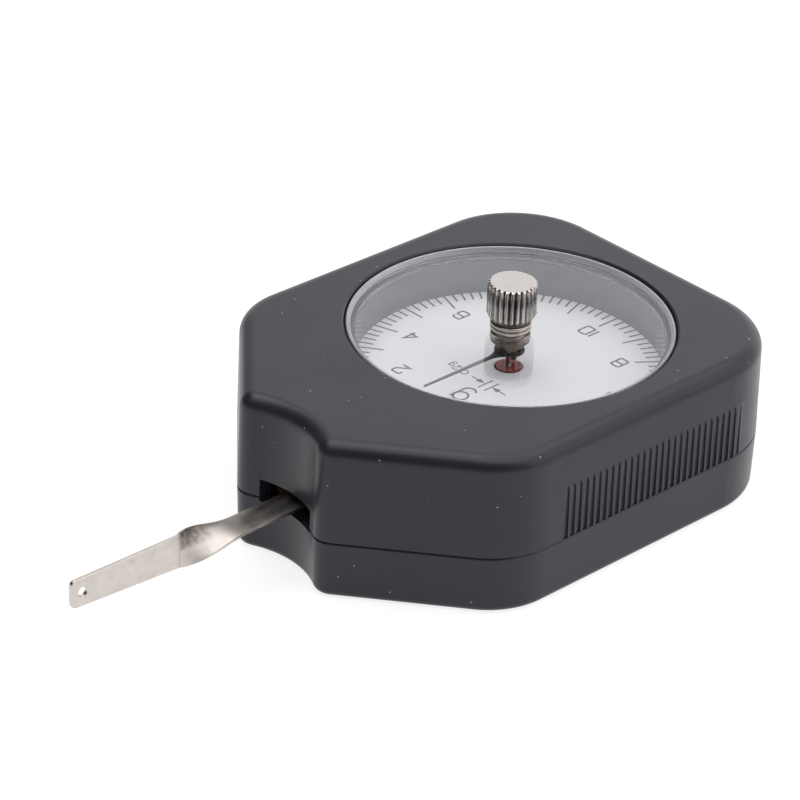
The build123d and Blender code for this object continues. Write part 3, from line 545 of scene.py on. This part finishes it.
MATERIALS = {
    "housing_plastic": housing_plastic(),
    "crystal_clear": clear_plastic(),
    "knob_nickel": knob_metal(),
    "lever_nickel": lever_metal(),
    "nickel_plate": dull_nickel(),
    "dial_white": surface(
        "dial_white", DIAL_WHITE, roughness=0.42, tint=0.012, gloss_change=0.05, patch=5,
        grain=0.09, grain_depth=0.002,
    ),
    "dial_print": surface("dial_print", DIAL_PRINT, roughness=0.5, tint=0.15, patch=1.5),
    "ring_aluminium": surface(
        "ring_aluminium", RING_GREY, roughness=0.13, tint=0.04, gloss_change=0.04, patch=4,
        grain=0.1, grain_depth=0.0008, ior=1.7,
    ),
    "gasket_rubber": surface("gasket_rubber", GASKET_BLACK, roughness=0.8, tint=0.2, ior=1.2),
    "driver_red": surface(
        "driver_red", DRIVER_RED, roughness=0.35, tint=0.12, patch=0.8, grain=0.08,
    ),
    "pointer_black": surface("pointer_black", POINTER_BLACK, roughness=0.4, tint=0.15, patch=2),
}
for metal_name, (metal_colour, metal_roughness, metal_grain) in METAL_LOOKS.items():
    MATERIALS[metal_name] = surface(
        metal_name, metal_colour, metal_roughness, metallic=1.0, grain=metal_grain
    )

SLOT_OF_NODE = {row["node"]: row["material_slot"] for row in frame["record"]["subparts"]}
for node_name, node_object in frame["nodes"].items():
    node_object.data.materials.clear()
    node_object.data.materials.append(MATERIALS[SLOT_OF_NODE[node_name]])


# Crystal: clear flat disc with a narrow raised edge, hollowed a little from below
HOLLOW_HEIGHT = 0.75
HOLLOW_INNER = 3.0
HOLLOW_OUTER = 22.75
FLAT_MARGIN = 0.25
SHANK_RADIUS = 2.2
SHANK_CLEARANCE = 0.02
LENS_LOW_BEND = 0.05
LENS_HIGH_BEND = 0.12
LENS_BEVEL_BEND = 0.1
LENS_SEGMENTS = 256


def build_crystal():
    """Lens that stands for the crystal and keeps its outer size."""
    radius = CRYSTAL_HIGH.x
    hole = SHANK_RADIUS + SHANK_CLEARANCE
    foot = CRYSTAL_LOW.z
    top = CRYSTAL_HIGH.z
    profile = rounded(
        [
            (hole, foot),
            (HOLLOW_INNER, foot),
            (HOLLOW_INNER, foot + HOLLOW_HEIGHT),
            (HOLLOW_OUTER, foot + HOLLOW_HEIGHT),
            (HOLLOW_OUTER, foot),
            (radius - FLAT_MARGIN, foot),
            (radius, foot, LENS_LOW_BEND),
            (radius, top, LENS_HIGH_BEND),
            (radius - CRYSTAL_RIM, top, LENS_BEVEL_BEND),
            (FACE_RADIUS, CRYSTAL_FACE, LENS_BEVEL_BEND),
            (FACE_RADIUS - FLAT_MARGIN, CRYSTAL_FACE),
            (hole, CRYSTAL_FACE),
        ],
        radius=0,
    )
    lens = revolved(profile, LENS_SEGMENTS)
    make_piece("crystal_lens", lens, "housing", "crystal_clear", ["crystal"])


build_crystal()


# Knob: fluted head with a tapered foot, on a short collar, with a turning mark in the top
KNOB_FLUTES = 25
POINTS_PER_FLUTE = 16
FLUTE_DEPTH = 0.34
FLUTE_CURVE = 0.85
CREST_SHARE = 0.34
KNOB_BORE = 0.72
COLLAR_RADIUS = 2.92
COLLAR_HEIGHT = 0.1
FOOT_RADIUS = 3.1
FOOT_BEVEL = 0.12
FOOT_LIFT = 0.01
FOOT_BEVEL_TOP = 0.1
TAPER_HEIGHT = 1.0
TOP_BEVEL = 0.3
BEVEL_DEPTH = 0.2
BEVEL_EASE = 0.02
BEVEL_EASE_DEPTH = 0.17
MARK_EDGE = 0.3
MARK_RADIUS = 0.12
MARK_FLOOR = 0.05
MARK_DEPTH = 0.05
LOW_FOOT_SHARE = 0.3
HIGH_FOOT_SHARE = 0.7
BEVEL_SHARE = 0.5


def flute_depth(index):
    """Depth of the fluting at one of the points around the knob: flat crests and narrow valleys."""
    away = abs(index % POINTS_PER_FLUTE / POINTS_PER_FLUTE - 0.5) * 2
    return FLUTE_DEPTH * max(0, 1 - away / (1 - CREST_SHARE)) ** FLUTE_CURVE


def build_knob():
    """Knob from rings, each with its radius, its height and its share of the flutes' depth."""
    radius = KNOB_HIGH.x
    base = KNOB_LOW.z
    top = KNOB_HIGH.z
    foot = base + COLLAR_HEIGHT
    levels = [
        (KNOB_BORE, base, 0),
        (COLLAR_RADIUS, base, 0),
        (COLLAR_RADIUS, foot, 0),
        (FOOT_RADIUS - FOOT_BEVEL, foot + FOOT_LIFT, LOW_FOOT_SHARE),
        (FOOT_RADIUS, foot + FOOT_BEVEL_TOP, HIGH_FOOT_SHARE),
        (radius, foot + TAPER_HEIGHT, 1),
        (radius, top - BEVEL_DEPTH, 1),
        (radius - BEVEL_EASE, top - BEVEL_EASE_DEPTH, 1),
        (radius - TOP_BEVEL, top, BEVEL_SHARE),
        (radius - TOP_BEVEL - FLUTE_DEPTH, top, 0),
        (MARK_EDGE, top, 0),
        (MARK_RADIUS, top, 0),
        (MARK_FLOOR, top - MARK_DEPTH, 0),
    ]
    count = KNOB_FLUTES * POINTS_PER_FLUTE
    rings = []
    for limit, z, share in levels:
        ring = []
        for index in range(count):
            r = limit - share * flute_depth(index)
            angle = 2 * pi * index / count
            ring.append((r * cos(angle), r * sin(angle), z))
        rings.append(ring)
    make_piece("fluted_knob", stacked(rings), "pointer", "knob_nickel", ["knob"])


build_knob()


# Crystal bush: flange with a groove, on the shank that passes through the crystal
BUSH_BORE = 0.75
BUSH_GROOVE_DEPTH = 0.28
BUSH_MOUTH_HALF = 0.17
BUSH_FLOOR_HALF = 0.10
FLANGE_LOW_BEND = 0.08
BUSH_MOUTH_BEND = 0.06
BUSH_FLOOR_BEND = 0.05
FLANGE_HIGH_BEND = 0.18
BUSH_SEGMENTS = 128
BUSH_BEND_STEPS = 3


def build_bush():
    """Flanged bush; half the widths of its groove are taken from the middle of the flange."""
    low, high = node_box("crystal_bush")
    flange = high.x
    middle = (CRYSTAL_FACE + high.z) / 2
    profile = rounded(
        [
            (BUSH_BORE, low.z),
            (SHANK_RADIUS, low.z),
            (SHANK_RADIUS, CRYSTAL_FACE),
            (flange, CRYSTAL_FACE, FLANGE_LOW_BEND),
            (flange, middle - BUSH_MOUTH_HALF, BUSH_MOUTH_BEND),
            (flange - BUSH_GROOVE_DEPTH, middle - BUSH_FLOOR_HALF, BUSH_FLOOR_BEND),
            (flange - BUSH_GROOVE_DEPTH, middle + BUSH_FLOOR_HALF, BUSH_FLOOR_BEND),
            (flange, middle + BUSH_MOUTH_HALF, BUSH_MOUTH_BEND),
            (flange, high.z, FLANGE_HIGH_BEND),
            (BUSH_BORE, high.z),
        ],
        radius=0,
        steps=BUSH_BEND_STEPS,
    )
    bush = revolved(profile, BUSH_SEGMENTS)
    make_piece("flanged_bush", bush, "housing", "nickel_plate", ["crystal_bush"])


build_bush()


# Pointer needle: ring around the hub, a flared root and a long taper
NEEDLE_RING_OUTER = 2.25
NEEDLE_RING_INNER = 1.72
NEEDLE_RING_SEGMENTS = 96
NEEDLE_ROOT = 1.9
NEEDLE_ROOT_HALF = 1.2
NEEDLE_WAIST = 5.0
NEEDLE_WAIST_HALF = 0.27
NEEDLE_TIP_HALF = 0.12
NEEDLE_TIP_MARGIN = 0.3
NEEDLE_FLARE_POWER = 3.0
NEEDLE_FLARE_STEPS = 24


def build_needle():
    """Needle with its outline drawn down one side and back up the other."""
    low, high = node_box("pointer_needle")
    right = []
    for step in range(NEEDLE_FLARE_STEPS + 1):
        share = step / NEEDLE_FLARE_STEPS
        y = NEEDLE_ROOT + (NEEDLE_WAIST - NEEDLE_ROOT) * share
        flare = (NEEDLE_ROOT_HALF - NEEDLE_WAIST_HALF) * (1 - share) ** NEEDLE_FLARE_POWER
        right.append((NEEDLE_WAIST_HALF + flare, -y))
    right.append((NEEDLE_TIP_HALF, low.y + NEEDLE_TIP_MARGIN))
    outline = right + [(-x, y) for x, y in reversed(right)]
    ring = [
        (NEEDLE_RING_INNER, low.z),
        (NEEDLE_RING_OUTER, low.z),
        (NEEDLE_RING_OUTER, high.z),
        (NEEDLE_RING_INNER, high.z),
    ]
    shapes = [prism(outline, low.z, high.z), revolved(ring, NEEDLE_RING_SEGMENTS)]
    make_piece("needle", joined(shapes), "pointer", "pointer_black", ["pointer_needle"])


build_needle()


# Lever blade: flat strip, quarter twist that ends in a crease, and upright tapered blade with an eye
BLADE_THICKNESS = 0.6
BLADE_CORNER = 0.12
CORNER_STEPS = 3
STRIP_WIDTH = 4.4
STRIP_LEVEL = 10.4
STRIP_STOPS = (-35, -45)
TAIL_STEP = 1
ROOT_HEIGHT = 5.2
ROOT_LEVEL = 10.6
TIP_HEIGHT = 4.3
TIP_LEVEL = 11.15
TIP_ROUND = 0.7
TIP_STEPS = 6
QUARTER_TURN = pi / 2
CREASE_SHARE = 0.8
TWIST_STEPS = 28
BLADE_STEP = 4
BLADE_STEPS = 4
EYE_FROM_TIP = 1.9
EYE_RADIUS = 0.7
EYE_FLARE = 0.1
EYE_SEGMENTS = 48
CUTTER_FLARE = 0.2


def between(first, second, share):
    """A size on the way from a first to a second one."""
    return first + (second - first) * share


def blade_stations(tail_y, tip_y):
    """Places along the lever, each with its width, its turn and the height of its middle."""
    stations = []
    for y in (tail_y, tail_y - TAIL_STEP, *STRIP_STOPS, TWIST_START):
        stations.append((y, STRIP_WIDTH, 0, STRIP_LEVEL))
    for step in range(1, TWIST_STEPS):
        share = step / TWIST_STEPS
        easing = CREASE_SHARE + (1 - CREASE_SHARE) * (3 - 2 * share)
        turn = QUARTER_TURN * share * share * easing
        y = between(TWIST_START, TWIST_END, share)
        width = between(STRIP_WIDTH, ROOT_HEIGHT, share)
        stations.append((y, width, turn, between(STRIP_LEVEL, ROOT_LEVEL, share)))
    blade_stops = [TWIST_END - BLADE_STEP * step for step in range(BLADE_STEPS)]
    for y in (*blade_stops, tip_y + TIP_ROUND):
        share = (TWIST_END - y) / (TWIST_END - tip_y)
        height = between(ROOT_HEIGHT, TIP_HEIGHT, share)
        stations.append((y, height, QUARTER_TURN, between(ROOT_LEVEL, TIP_LEVEL, share)))
    for step in range(1, TIP_STEPS + 1):
        away = TIP_ROUND * (1 - sin(QUARTER_TURN * step / TIP_STEPS))
        loss = TIP_ROUND - sqrt(TIP_ROUND ** 2 - (TIP_ROUND - away) ** 2)
        stations.append((tip_y + away, TIP_HEIGHT - 2 * loss, QUARTER_TURN, TIP_LEVEL))
    return stations


def build_blade():
    """Blade as a skin over the outlines at its stations, with the eye cut through it."""
    low, high = node_box("lever_blade")
    edge = BLADE_THICKNESS / 2
    rings = []
    for y, width, turn, z in blade_stations(high.y, low.y):
        half = width / 2
        corners = [(half, edge), (-half, edge), (-half, -edge), (half, -edge)]
        rings.append([
            (u * cos(turn) + v * sin(turn), y, z + v * cos(turn) - u * sin(turn))
            for u, v in rounded(corners, BLADE_CORNER, steps=CORNER_STEPS)
        ])
    blade = make_piece("blade", stacked(rings), "lever", "lever_nickel", ["lever_blade"])
    cut_eye(blade, low.y + EYE_FROM_TIP, TIP_LEVEL)


def cut_eye(piece, y, z):
    """Round hole across the blade, with softened edges."""
    face = BLADE_THICKNESS / 2
    outside = BLADE_THICKNESS * 2
    levels = [
        (-outside, EYE_RADIUS + CUTTER_FLARE),
        (-face, EYE_RADIUS + EYE_FLARE),
        (EYE_FLARE - face, EYE_RADIUS),
        (face - EYE_FLARE, EYE_RADIUS),
        (face, EYE_RADIUS + EYE_FLARE),
        (outside, EYE_RADIUS + CUTTER_FLARE),
    ]
    angles = [2 * pi * index / EYE_SEGMENTS for index in range(EYE_SEGMENTS)]
    rings = [
        [(x, y + r * cos(angle), z + r * sin(angle)) for angle in angles] for x, r in levels
    ]
    cutter = bpy.data.objects.new("eye_cutter", make_mesh("eye_cutter", stacked(rings)))
    scene.collection.objects.link(cutter)
    change = piece.modifiers.new("eye", "BOOLEAN")
    change.operation = "DIFFERENCE"
    change.solver = "EXACT"
    change.object = cutter
    graph = bpy.context.evaluated_depsgraph_get()
    final = bpy.data.meshes.new_from_object(piece.evaluated_get(graph))
    piece.modifiers.clear()
    piece.data = final
    bpy.data.objects.remove(cutter)


build_blade()


# Dial print: thin slabs on the dial, which read as text does from the far side of the gauge
DIAL_TOP = node_box("dial_plate")[1].z
PRINT_TOP = DIAL_TOP + 0.02
SAME_PLACE = 1e-6
SHARPEST_MITRE = 0.35


def print_on_dial(name, shapes):
    """One piece of print from several slabs."""
    make_piece(name, joined(shapes), "housing", "dial_white", look="dial_print")


def stroke(points, width, closed=False):
    """Band of a width along a line of points, as a closed slab on the dial.

    The points read as text does, so they are turned half round: the tops of the numerals face the lever.
    """
    count = len(points)
    left = []
    right = []
    for index in range(count):
        here = Vector(points[index])
        ways = []
        if closed or index:
            ways.append(here - Vector(points[index - 1]))
        if closed or index < count - 1:
            ways.append(Vector(points[(index + 1) % count]) - here)
        ways = [way.normalized() for way in ways if way.length > SAME_PLACE]
        way = sum(ways, Vector((0, 0))).normalized()
        side = Vector((-way.y, way.x))
        first_side = Vector((-ways[0].y, ways[0].x))
        reach = width / 2 / max(SHARPEST_MITRE, side.dot(first_side))
        left.append(here + side * reach)
        right.append(here - side * reach)
    vertices = [(-p.x, -p.y, z) for z in (DIAL_TOP, PRINT_TOP) for p in left + right]
    layer = 2 * count
    faces = []
    for index in range(count if closed else count - 1):
        following = (index + 1) % count
        low = (index, following, following + count, index + count)
        high = [corner + layer for corner in low]
        faces.append(low)
        faces.append(tuple(reversed(high)))
        faces.append((low[1], low[0], high[0], high[1]))
        faces.append((low[3], low[2], high[2], high[3]))
    if not closed:
        for index in (0, count - 1):
            across = index + count
            faces.append((index, across, across + layer, index + layer))
    return vertices, faces


def arc_points(centre, radii, start, stop, steps):
    """Points along part of an ellipse, with angles in degrees."""
    points = []
    for step in range(steps + 1):
        angle = radians(start + (stop - start) * step / steps)
        points.append((centre[0] + radii[0] * cos(angle), centre[1] + radii[1] * sin(angle)))
    return points


def oval(centre, radii, line, steps):
    """Closed line around an ellipse."""
    return stroke(arc_points(centre, radii, 0, 360, steps)[:-1], line, True)


def letter_g(centre, bowl, hook, drop, hook_end, line, steps):
    """Plain letter for grams: a round bowl, and a stem that ends in a hook below it."""
    stem_x = centre[0] + bowl[0]
    hook_centre = (stem_x - hook[0], centre[1] - drop)
    tail = [(stem_x, centre[1] + bowl[1]), (stem_x, hook_centre[1])]
    tail += arc_points(hook_centre, hook, 0, hook_end, steps[1])
    return [oval(centre, bowl, line, steps[0]), stroke(tail, line)]


# Graduations
TICK_COUNT = 100
TICKS_PER_LONG = 5
TICK_OUTER = 22.7
TICK_INNER = 20.6
LONG_TICK_INNER = 18.75
TICK_WIDTH = 0.30


def build_ticks():
    """Ring of ticks that starts towards the lever, with every fifth one longer."""
    marks = []
    half = TICK_WIDTH / 2
    for index in range(TICK_COUNT):
        angle = 2 * pi * index / TICK_COUNT - pi / 2
        inner = TICK_INNER if index % TICKS_PER_LONG else LONG_TICK_INNER
        outline = [(inner, -half), (TICK_OUTER, -half), (TICK_OUTER, half), (inner, half)]
        turned = [
            (u * cos(angle) - v * sin(angle), u * sin(angle) + v * cos(angle)) for u, v in outline
        ]
        marks.append(prism(turned, DIAL_TOP, PRINT_TOP))
    print_on_dial("graduations", marks)


# Numerals: strokes in a cell one wide and one high, as points, then whether the line closes
DIGIT_SHARES = {
    "0": [([(0, 0), (1, 0), (1, 1), (0, 1)], True)],
    "1": [([(0, 0), (0, 1)], False)],
    "2": [([(0, 0.68), (0, 1), (1, 1), (1, 0.60), (0, 0, 0), (1, 0)], False)],
    "4": [([(0.7, 0), (0.7, 1, 0), (0, 0.28, 0), (0.95, 0.28)], False)],
    "6": [([(1, 0.78), (0.78, 1), (0, 1), (0, 0), (1, 0), (1, 0.54), (0, 0.54)], False)],
    "8": [([(0, 0), (1, 0), (1, 1), (0, 1)], True), ([(0, 0.54), (1, 0.54)], False)],
}
WIDTH_SHARES = {"1": 0}
NUMERAL_STEPS = (-4, -3, -2, -1, 1, 2, 3, 4, 5)
STEP_ANGLE = 36.0
STEP_VALUE = 2
NUMERAL_CELL = (1.55, 2.35)
NUMERAL_LINE = 0.33
NUMERAL_ORBIT = 16.5
LOWEST_NUMERAL_INWARD = 0.6
NUMERAL_BEND = 0.34
NUMERAL_GAP = 0.68


def numeral(text, centre, cell, line, bend, gap):
    """Shapes of a number, written around a centre in the dial's plane."""
    widths = [WIDTH_SHARES.get(digit, 1) * cell[0] for digit in text]
    left = centre[0] - (sum(widths) + gap * (len(text) - 1)) / 2
    shapes = []
    for digit, width in zip(text, widths):
        for points, closed in DIGIT_SHARES[digit]:
            placed = [
                (left + point[0] * width, centre[1] + (point[1] - 0.5) * cell[1]) + tuple(point[2:])
                for point in points
            ]
            shapes.append(stroke(rounded(placed, bend, closed), line, closed))
        left += width + gap
    return shapes


def build_numerals():
    """Numbers that grow both ways from the needle's rest, which has none of its own."""
    shapes = []
    for step in NUMERAL_STEPS:
        number = abs(step) * STEP_VALUE
        angle = radians(STEP_ANGLE * step)
        orbit = NUMERAL_ORBIT - (LOWEST_NUMERAL_INWARD if number == STEP_VALUE else 0)
        centre = (orbit * sin(angle), orbit * cos(angle))
        shapes += numeral(
            str(number), centre, NUMERAL_CELL, NUMERAL_LINE, NUMERAL_BEND, NUMERAL_GAP
        )
    print_on_dial("numerals", shapes)


# Unit mark: plain letter for grams between the lever and the arrows
UNIT_CENTRE = (-1.8, 11.3)
UNIT_BOWL = (1.1, 1.15)
UNIT_HOOK = (1.05, 1.0)
UNIT_DROP = 1.7
UNIT_HOOK_END = -150
UNIT_LINE = 0.34
UNIT_STEPS = (32, 20)


def build_unit():
    """The large letter."""
    letter = letter_g(
        UNIT_CENTRE, UNIT_BOWL, UNIT_HOOK, UNIT_DROP, UNIT_HOOK_END, UNIT_LINE, UNIT_STEPS
    )
    print_on_dial("unit_mark", letter)


# Division mark: two arrows and two bars that show one division, with its value beside them
MARK_LEVEL = 6.2
ARROWS = ((-2.95, -5.8), (-1.5, 1.2))
ARROW_HEAD_LENGTH = 1.45
ARROW_HEAD_HALF = 0.525
ARROW_LINE = 0.22
BARS = (-2.9, -1.65)
BAR_HALF = 1.5
BAR_LINE = 0.24
VALUE_LINE = 0.19
VALUE_HEIGHT = 1.25
ZERO_X = 2.8
ZERO_HALF = 0.5
ZERO_STEPS = 24
POINT_START = 3.6
POINT_STOP = 3.8
POINT_LINE = 0.2
TWO_X = 4.55
TWO_WIDTH = 0.75
TWO_BEND = 0.2
SMALL_LETTER = (5.65, MARK_LEVEL - 0.1)
SMALL_BOWL = (0.36, 0.4)
SMALL_HOOK = (0.36, 0.3)
SMALL_DROP = 0.6
SMALL_HOOK_END = -160
SMALL_STEPS = (20, 12)


def arrow(tip, tail):
    """Arrow along the text direction, from its tail to its tip."""
    way = 1 if tip > tail else -1
    neck = tip - way * ARROW_HEAD_LENGTH
    upper = MARK_LEVEL + ARROW_HEAD_HALF
    lower = MARK_LEVEL - ARROW_HEAD_HALF
    head = [(-x, -y) for x, y in [(tip, MARK_LEVEL), (neck, upper), (neck, lower)]]
    shaft = stroke([(tail, MARK_LEVEL), (neck, MARK_LEVEL)], ARROW_LINE)
    return [prism(head, DIAL_TOP, PRINT_TOP), shaft]


def division_value():
    """The value of one division: a nought, a point, a two and the letter for grams."""
    foot = MARK_LEVEL - VALUE_HEIGHT / 2
    zero_radii = (ZERO_HALF, VALUE_HEIGHT / 2)
    shapes = [oval((ZERO_X, MARK_LEVEL), zero_radii, VALUE_LINE, ZERO_STEPS)]
    shapes.append(stroke([(POINT_START, foot), (POINT_STOP, foot)], POINT_LINE))
    cell = (TWO_WIDTH, VALUE_HEIGHT)
    shapes += numeral("2", (TWO_X, MARK_LEVEL), cell, VALUE_LINE, TWO_BEND, gap=0)
    shapes += letter_g(
        SMALL_LETTER, SMALL_BOWL, SMALL_HOOK, SMALL_DROP, SMALL_HOOK_END, VALUE_LINE, SMALL_STEPS
    )
    return shapes


def build_division_mark():
    """Arrows, bars and value as one piece."""
    shapes = []
    for tip, tail in ARROWS:
        shapes += arrow(tip, tail)
    for x in BARS:
        ends = [(x, MARK_LEVEL - BAR_HALF), (x, MARK_LEVEL + BAR_HALF)]
        shapes.append(stroke(ends, BAR_LINE))
    print_on_dial("division_mark", shapes + division_value())


build_ticks()
build_numerals()
build_unit()
build_division_mark()


# Camera at the photograph's viewpoint
CAMERA_AZIMUTH = radians(46.99)
CAMERA_ELEVATION = radians(30.431)
CAMERA_ROLL = radians(1.837)
CAMERA_DISTANCE = 485.16
CAMERA_SHIFT = (-15.437, 9.807)
CAMERA_LENS = 146.314
SENSOR = 36.0
CLIP_START = 0.01
CLIP_END = 50


def build_camera():
    """Camera on a sphere around the origin, moved sideways and turned by its roll."""
    back = Vector((
        sin(CAMERA_AZIMUTH) * cos(CAMERA_ELEVATION),
        -cos(CAMERA_AZIMUTH) * cos(CAMERA_ELEVATION),
        sin(CAMERA_ELEVATION),
    ))
    level_right = Vector((cos(CAMERA_AZIMUTH), sin(CAMERA_AZIMUTH), 0))
    level_up = back.cross(level_right)
    right = cos(CAMERA_ROLL) * level_right + sin(CAMERA_ROLL) * level_up
    up = cos(CAMERA_ROLL) * level_up - sin(CAMERA_ROLL) * level_right
    stand = CAMERA_SHIFT[0] * right + CAMERA_SHIFT[1] * up + CAMERA_DISTANCE * back
    data = bpy.data.cameras.new("camera")
    data.lens = CAMERA_LENS
    data.sensor_width = SENSOR
    data.clip_start = CLIP_START
    data.clip_end = CLIP_END
    camera = bpy.data.objects.new("camera", data)
    turned = Matrix((right, up, back)).transposed().to_4x4()
    camera.matrix_world = Matrix.Translation(stand * MM) @ turned
    scene.collection.objects.link(camera)
    scene.camera = camera


build_camera()


# Surroundings, in metres: white to the camera, a room that is lit from one side to glossy pieces
WHITE = (1, 1, 1, 1)
AMBIENT = 0.34
BRIGHT_SIDE = Vector((-0.465, 0.886, 0))
ROOM_DARK = 0.06
ROOM_BRIGHT = 1.35
ROOM_FADE = (0.45, 0.95)


def build_world():
    """White to the camera and through glass, a room that darkens away from its bright side in gloss."""
    world = bpy.data.worlds.new("studio")
    world.use_nodes = True
    tree = world.node_tree
    path = add_node(tree, "ShaderNodeLightPath")
    even = tree.nodes["Background"]
    even.inputs["Color"].default_value = (AMBIENT, AMBIENT, AMBIENT, 1)
    way = add_node(tree, "ShaderNodeTexCoord").outputs["Generated"]
    inputs = {0: way, 1: BRIGHT_SIDE}
    towards = add_node(tree, "ShaderNodeVectorMath", inputs, operation="DOT_PRODUCT")
    level = spread(tree, towards.outputs["Value"], ROOM_DARK, ROOM_BRIGHT, *ROOM_FADE)
    room = add_node(tree, "ShaderNodeBackground", {"Color": WHITE, "Strength": level})
    white = add_node(tree, "ShaderNodeBackground", {"Color": WHITE, "Strength": 1.0})
    glossy_ray = path.outputs["Is Glossy Ray"]
    mirrored = mixed_shader(tree, glossy_ray, even.outputs[0], room.outputs[0])
    mixed = mixed_shader(tree, seen_directly(tree, path), mirrored, white.outputs[0])
    finish_with(tree, "World Output", mixed)
    scene.world = world


# Floor, in metres: pale where light falls on it, nearly white where it is seen
FLOOR_HALF = 3.0
FLOOR_LEVEL = -0.00003
FLOOR_PALE = (0.88, 0.88, 0.88, 1)
FLOOR_TONE = (0.27, 0.27, 0.27, 1)
FLOOR_GLOW = 0.82


def build_floor():
    """Square floor just below the gauge; its glow keeps it white and leaves room for the shadow."""
    signs = ((-1, -1), (1, -1), (1, 1), (-1, 1))
    corners = [(x * FLOOR_HALF, y * FLOOR_HALF, FLOOR_LEVEL) for x, y in signs]
    mesh = bpy.data.meshes.new("floor")
    mesh.from_pydata(corners, [], [(0, 1, 2, 3)])
    material = bpy.data.materials.new("floor")
    material.use_nodes = True
    tree = material.node_tree
    tree.nodes.remove(shader_of(material))
    path = add_node(tree, "ShaderNodeLightPath")
    matt = add_node(tree, "ShaderNodeBsdfDiffuse", {"Color": FLOOR_PALE})
    toned = add_node(tree, "ShaderNodeBsdfDiffuse", {"Color": FLOOR_TONE})
    glow = add_node(tree, "ShaderNodeEmission", {"Color": WHITE, "Strength": FLOOR_GLOW})
    inputs = {0: toned.outputs[0], 1: glow.outputs[0]}
    lit = add_node(tree, "ShaderNodeAddShader", inputs)
    glossy_ray = path.outputs["Is Glossy Ray"]
    seen = calculated(tree, "MAXIMUM", seen_directly(tree, path), glossy_ray)
    finish_with(tree, "Material Output", mixed_shader(tree, seen, matt.outputs[0], lit.outputs[0]))
    mesh.materials.append(material)
    floor = bpy.data.objects.new("floor", mesh)
    scene.collection.objects.link(floor)


# Lamps: name, place and side in metres, and power in watts
LAMPS = (
    ("overhead_softbox", (-0.05, 0.06, 0.95), 1.25, 8.6),
    ("edge_softbox", (-0.32, -0.05, 0.95), 0.36, 0.85),
    ("side_softbox", (0.75, 0.60, 0.62), 1.2, 6.0),
)
LAMP_TARGET = Vector((0, -0.01, 0.01))


def build_lamp(name, position, side, power):
    """Square area lamp that faces the gauge."""
    data = bpy.data.lights.new(name, "AREA")
    data.shape = "SQUARE"
    data.size = side
    data.energy = power
    lamp = bpy.data.objects.new(name, data)
    lamp.location = position
    aim = LAMP_TARGET - Vector(position)
    lamp.rotation_euler = aim.to_track_quat("-Z", "Y").to_euler()
    scene.collection.objects.link(lamp)


build_world()
build_floor()
for lamp_values in LAMPS:
    build_lamp(*lamp_values)
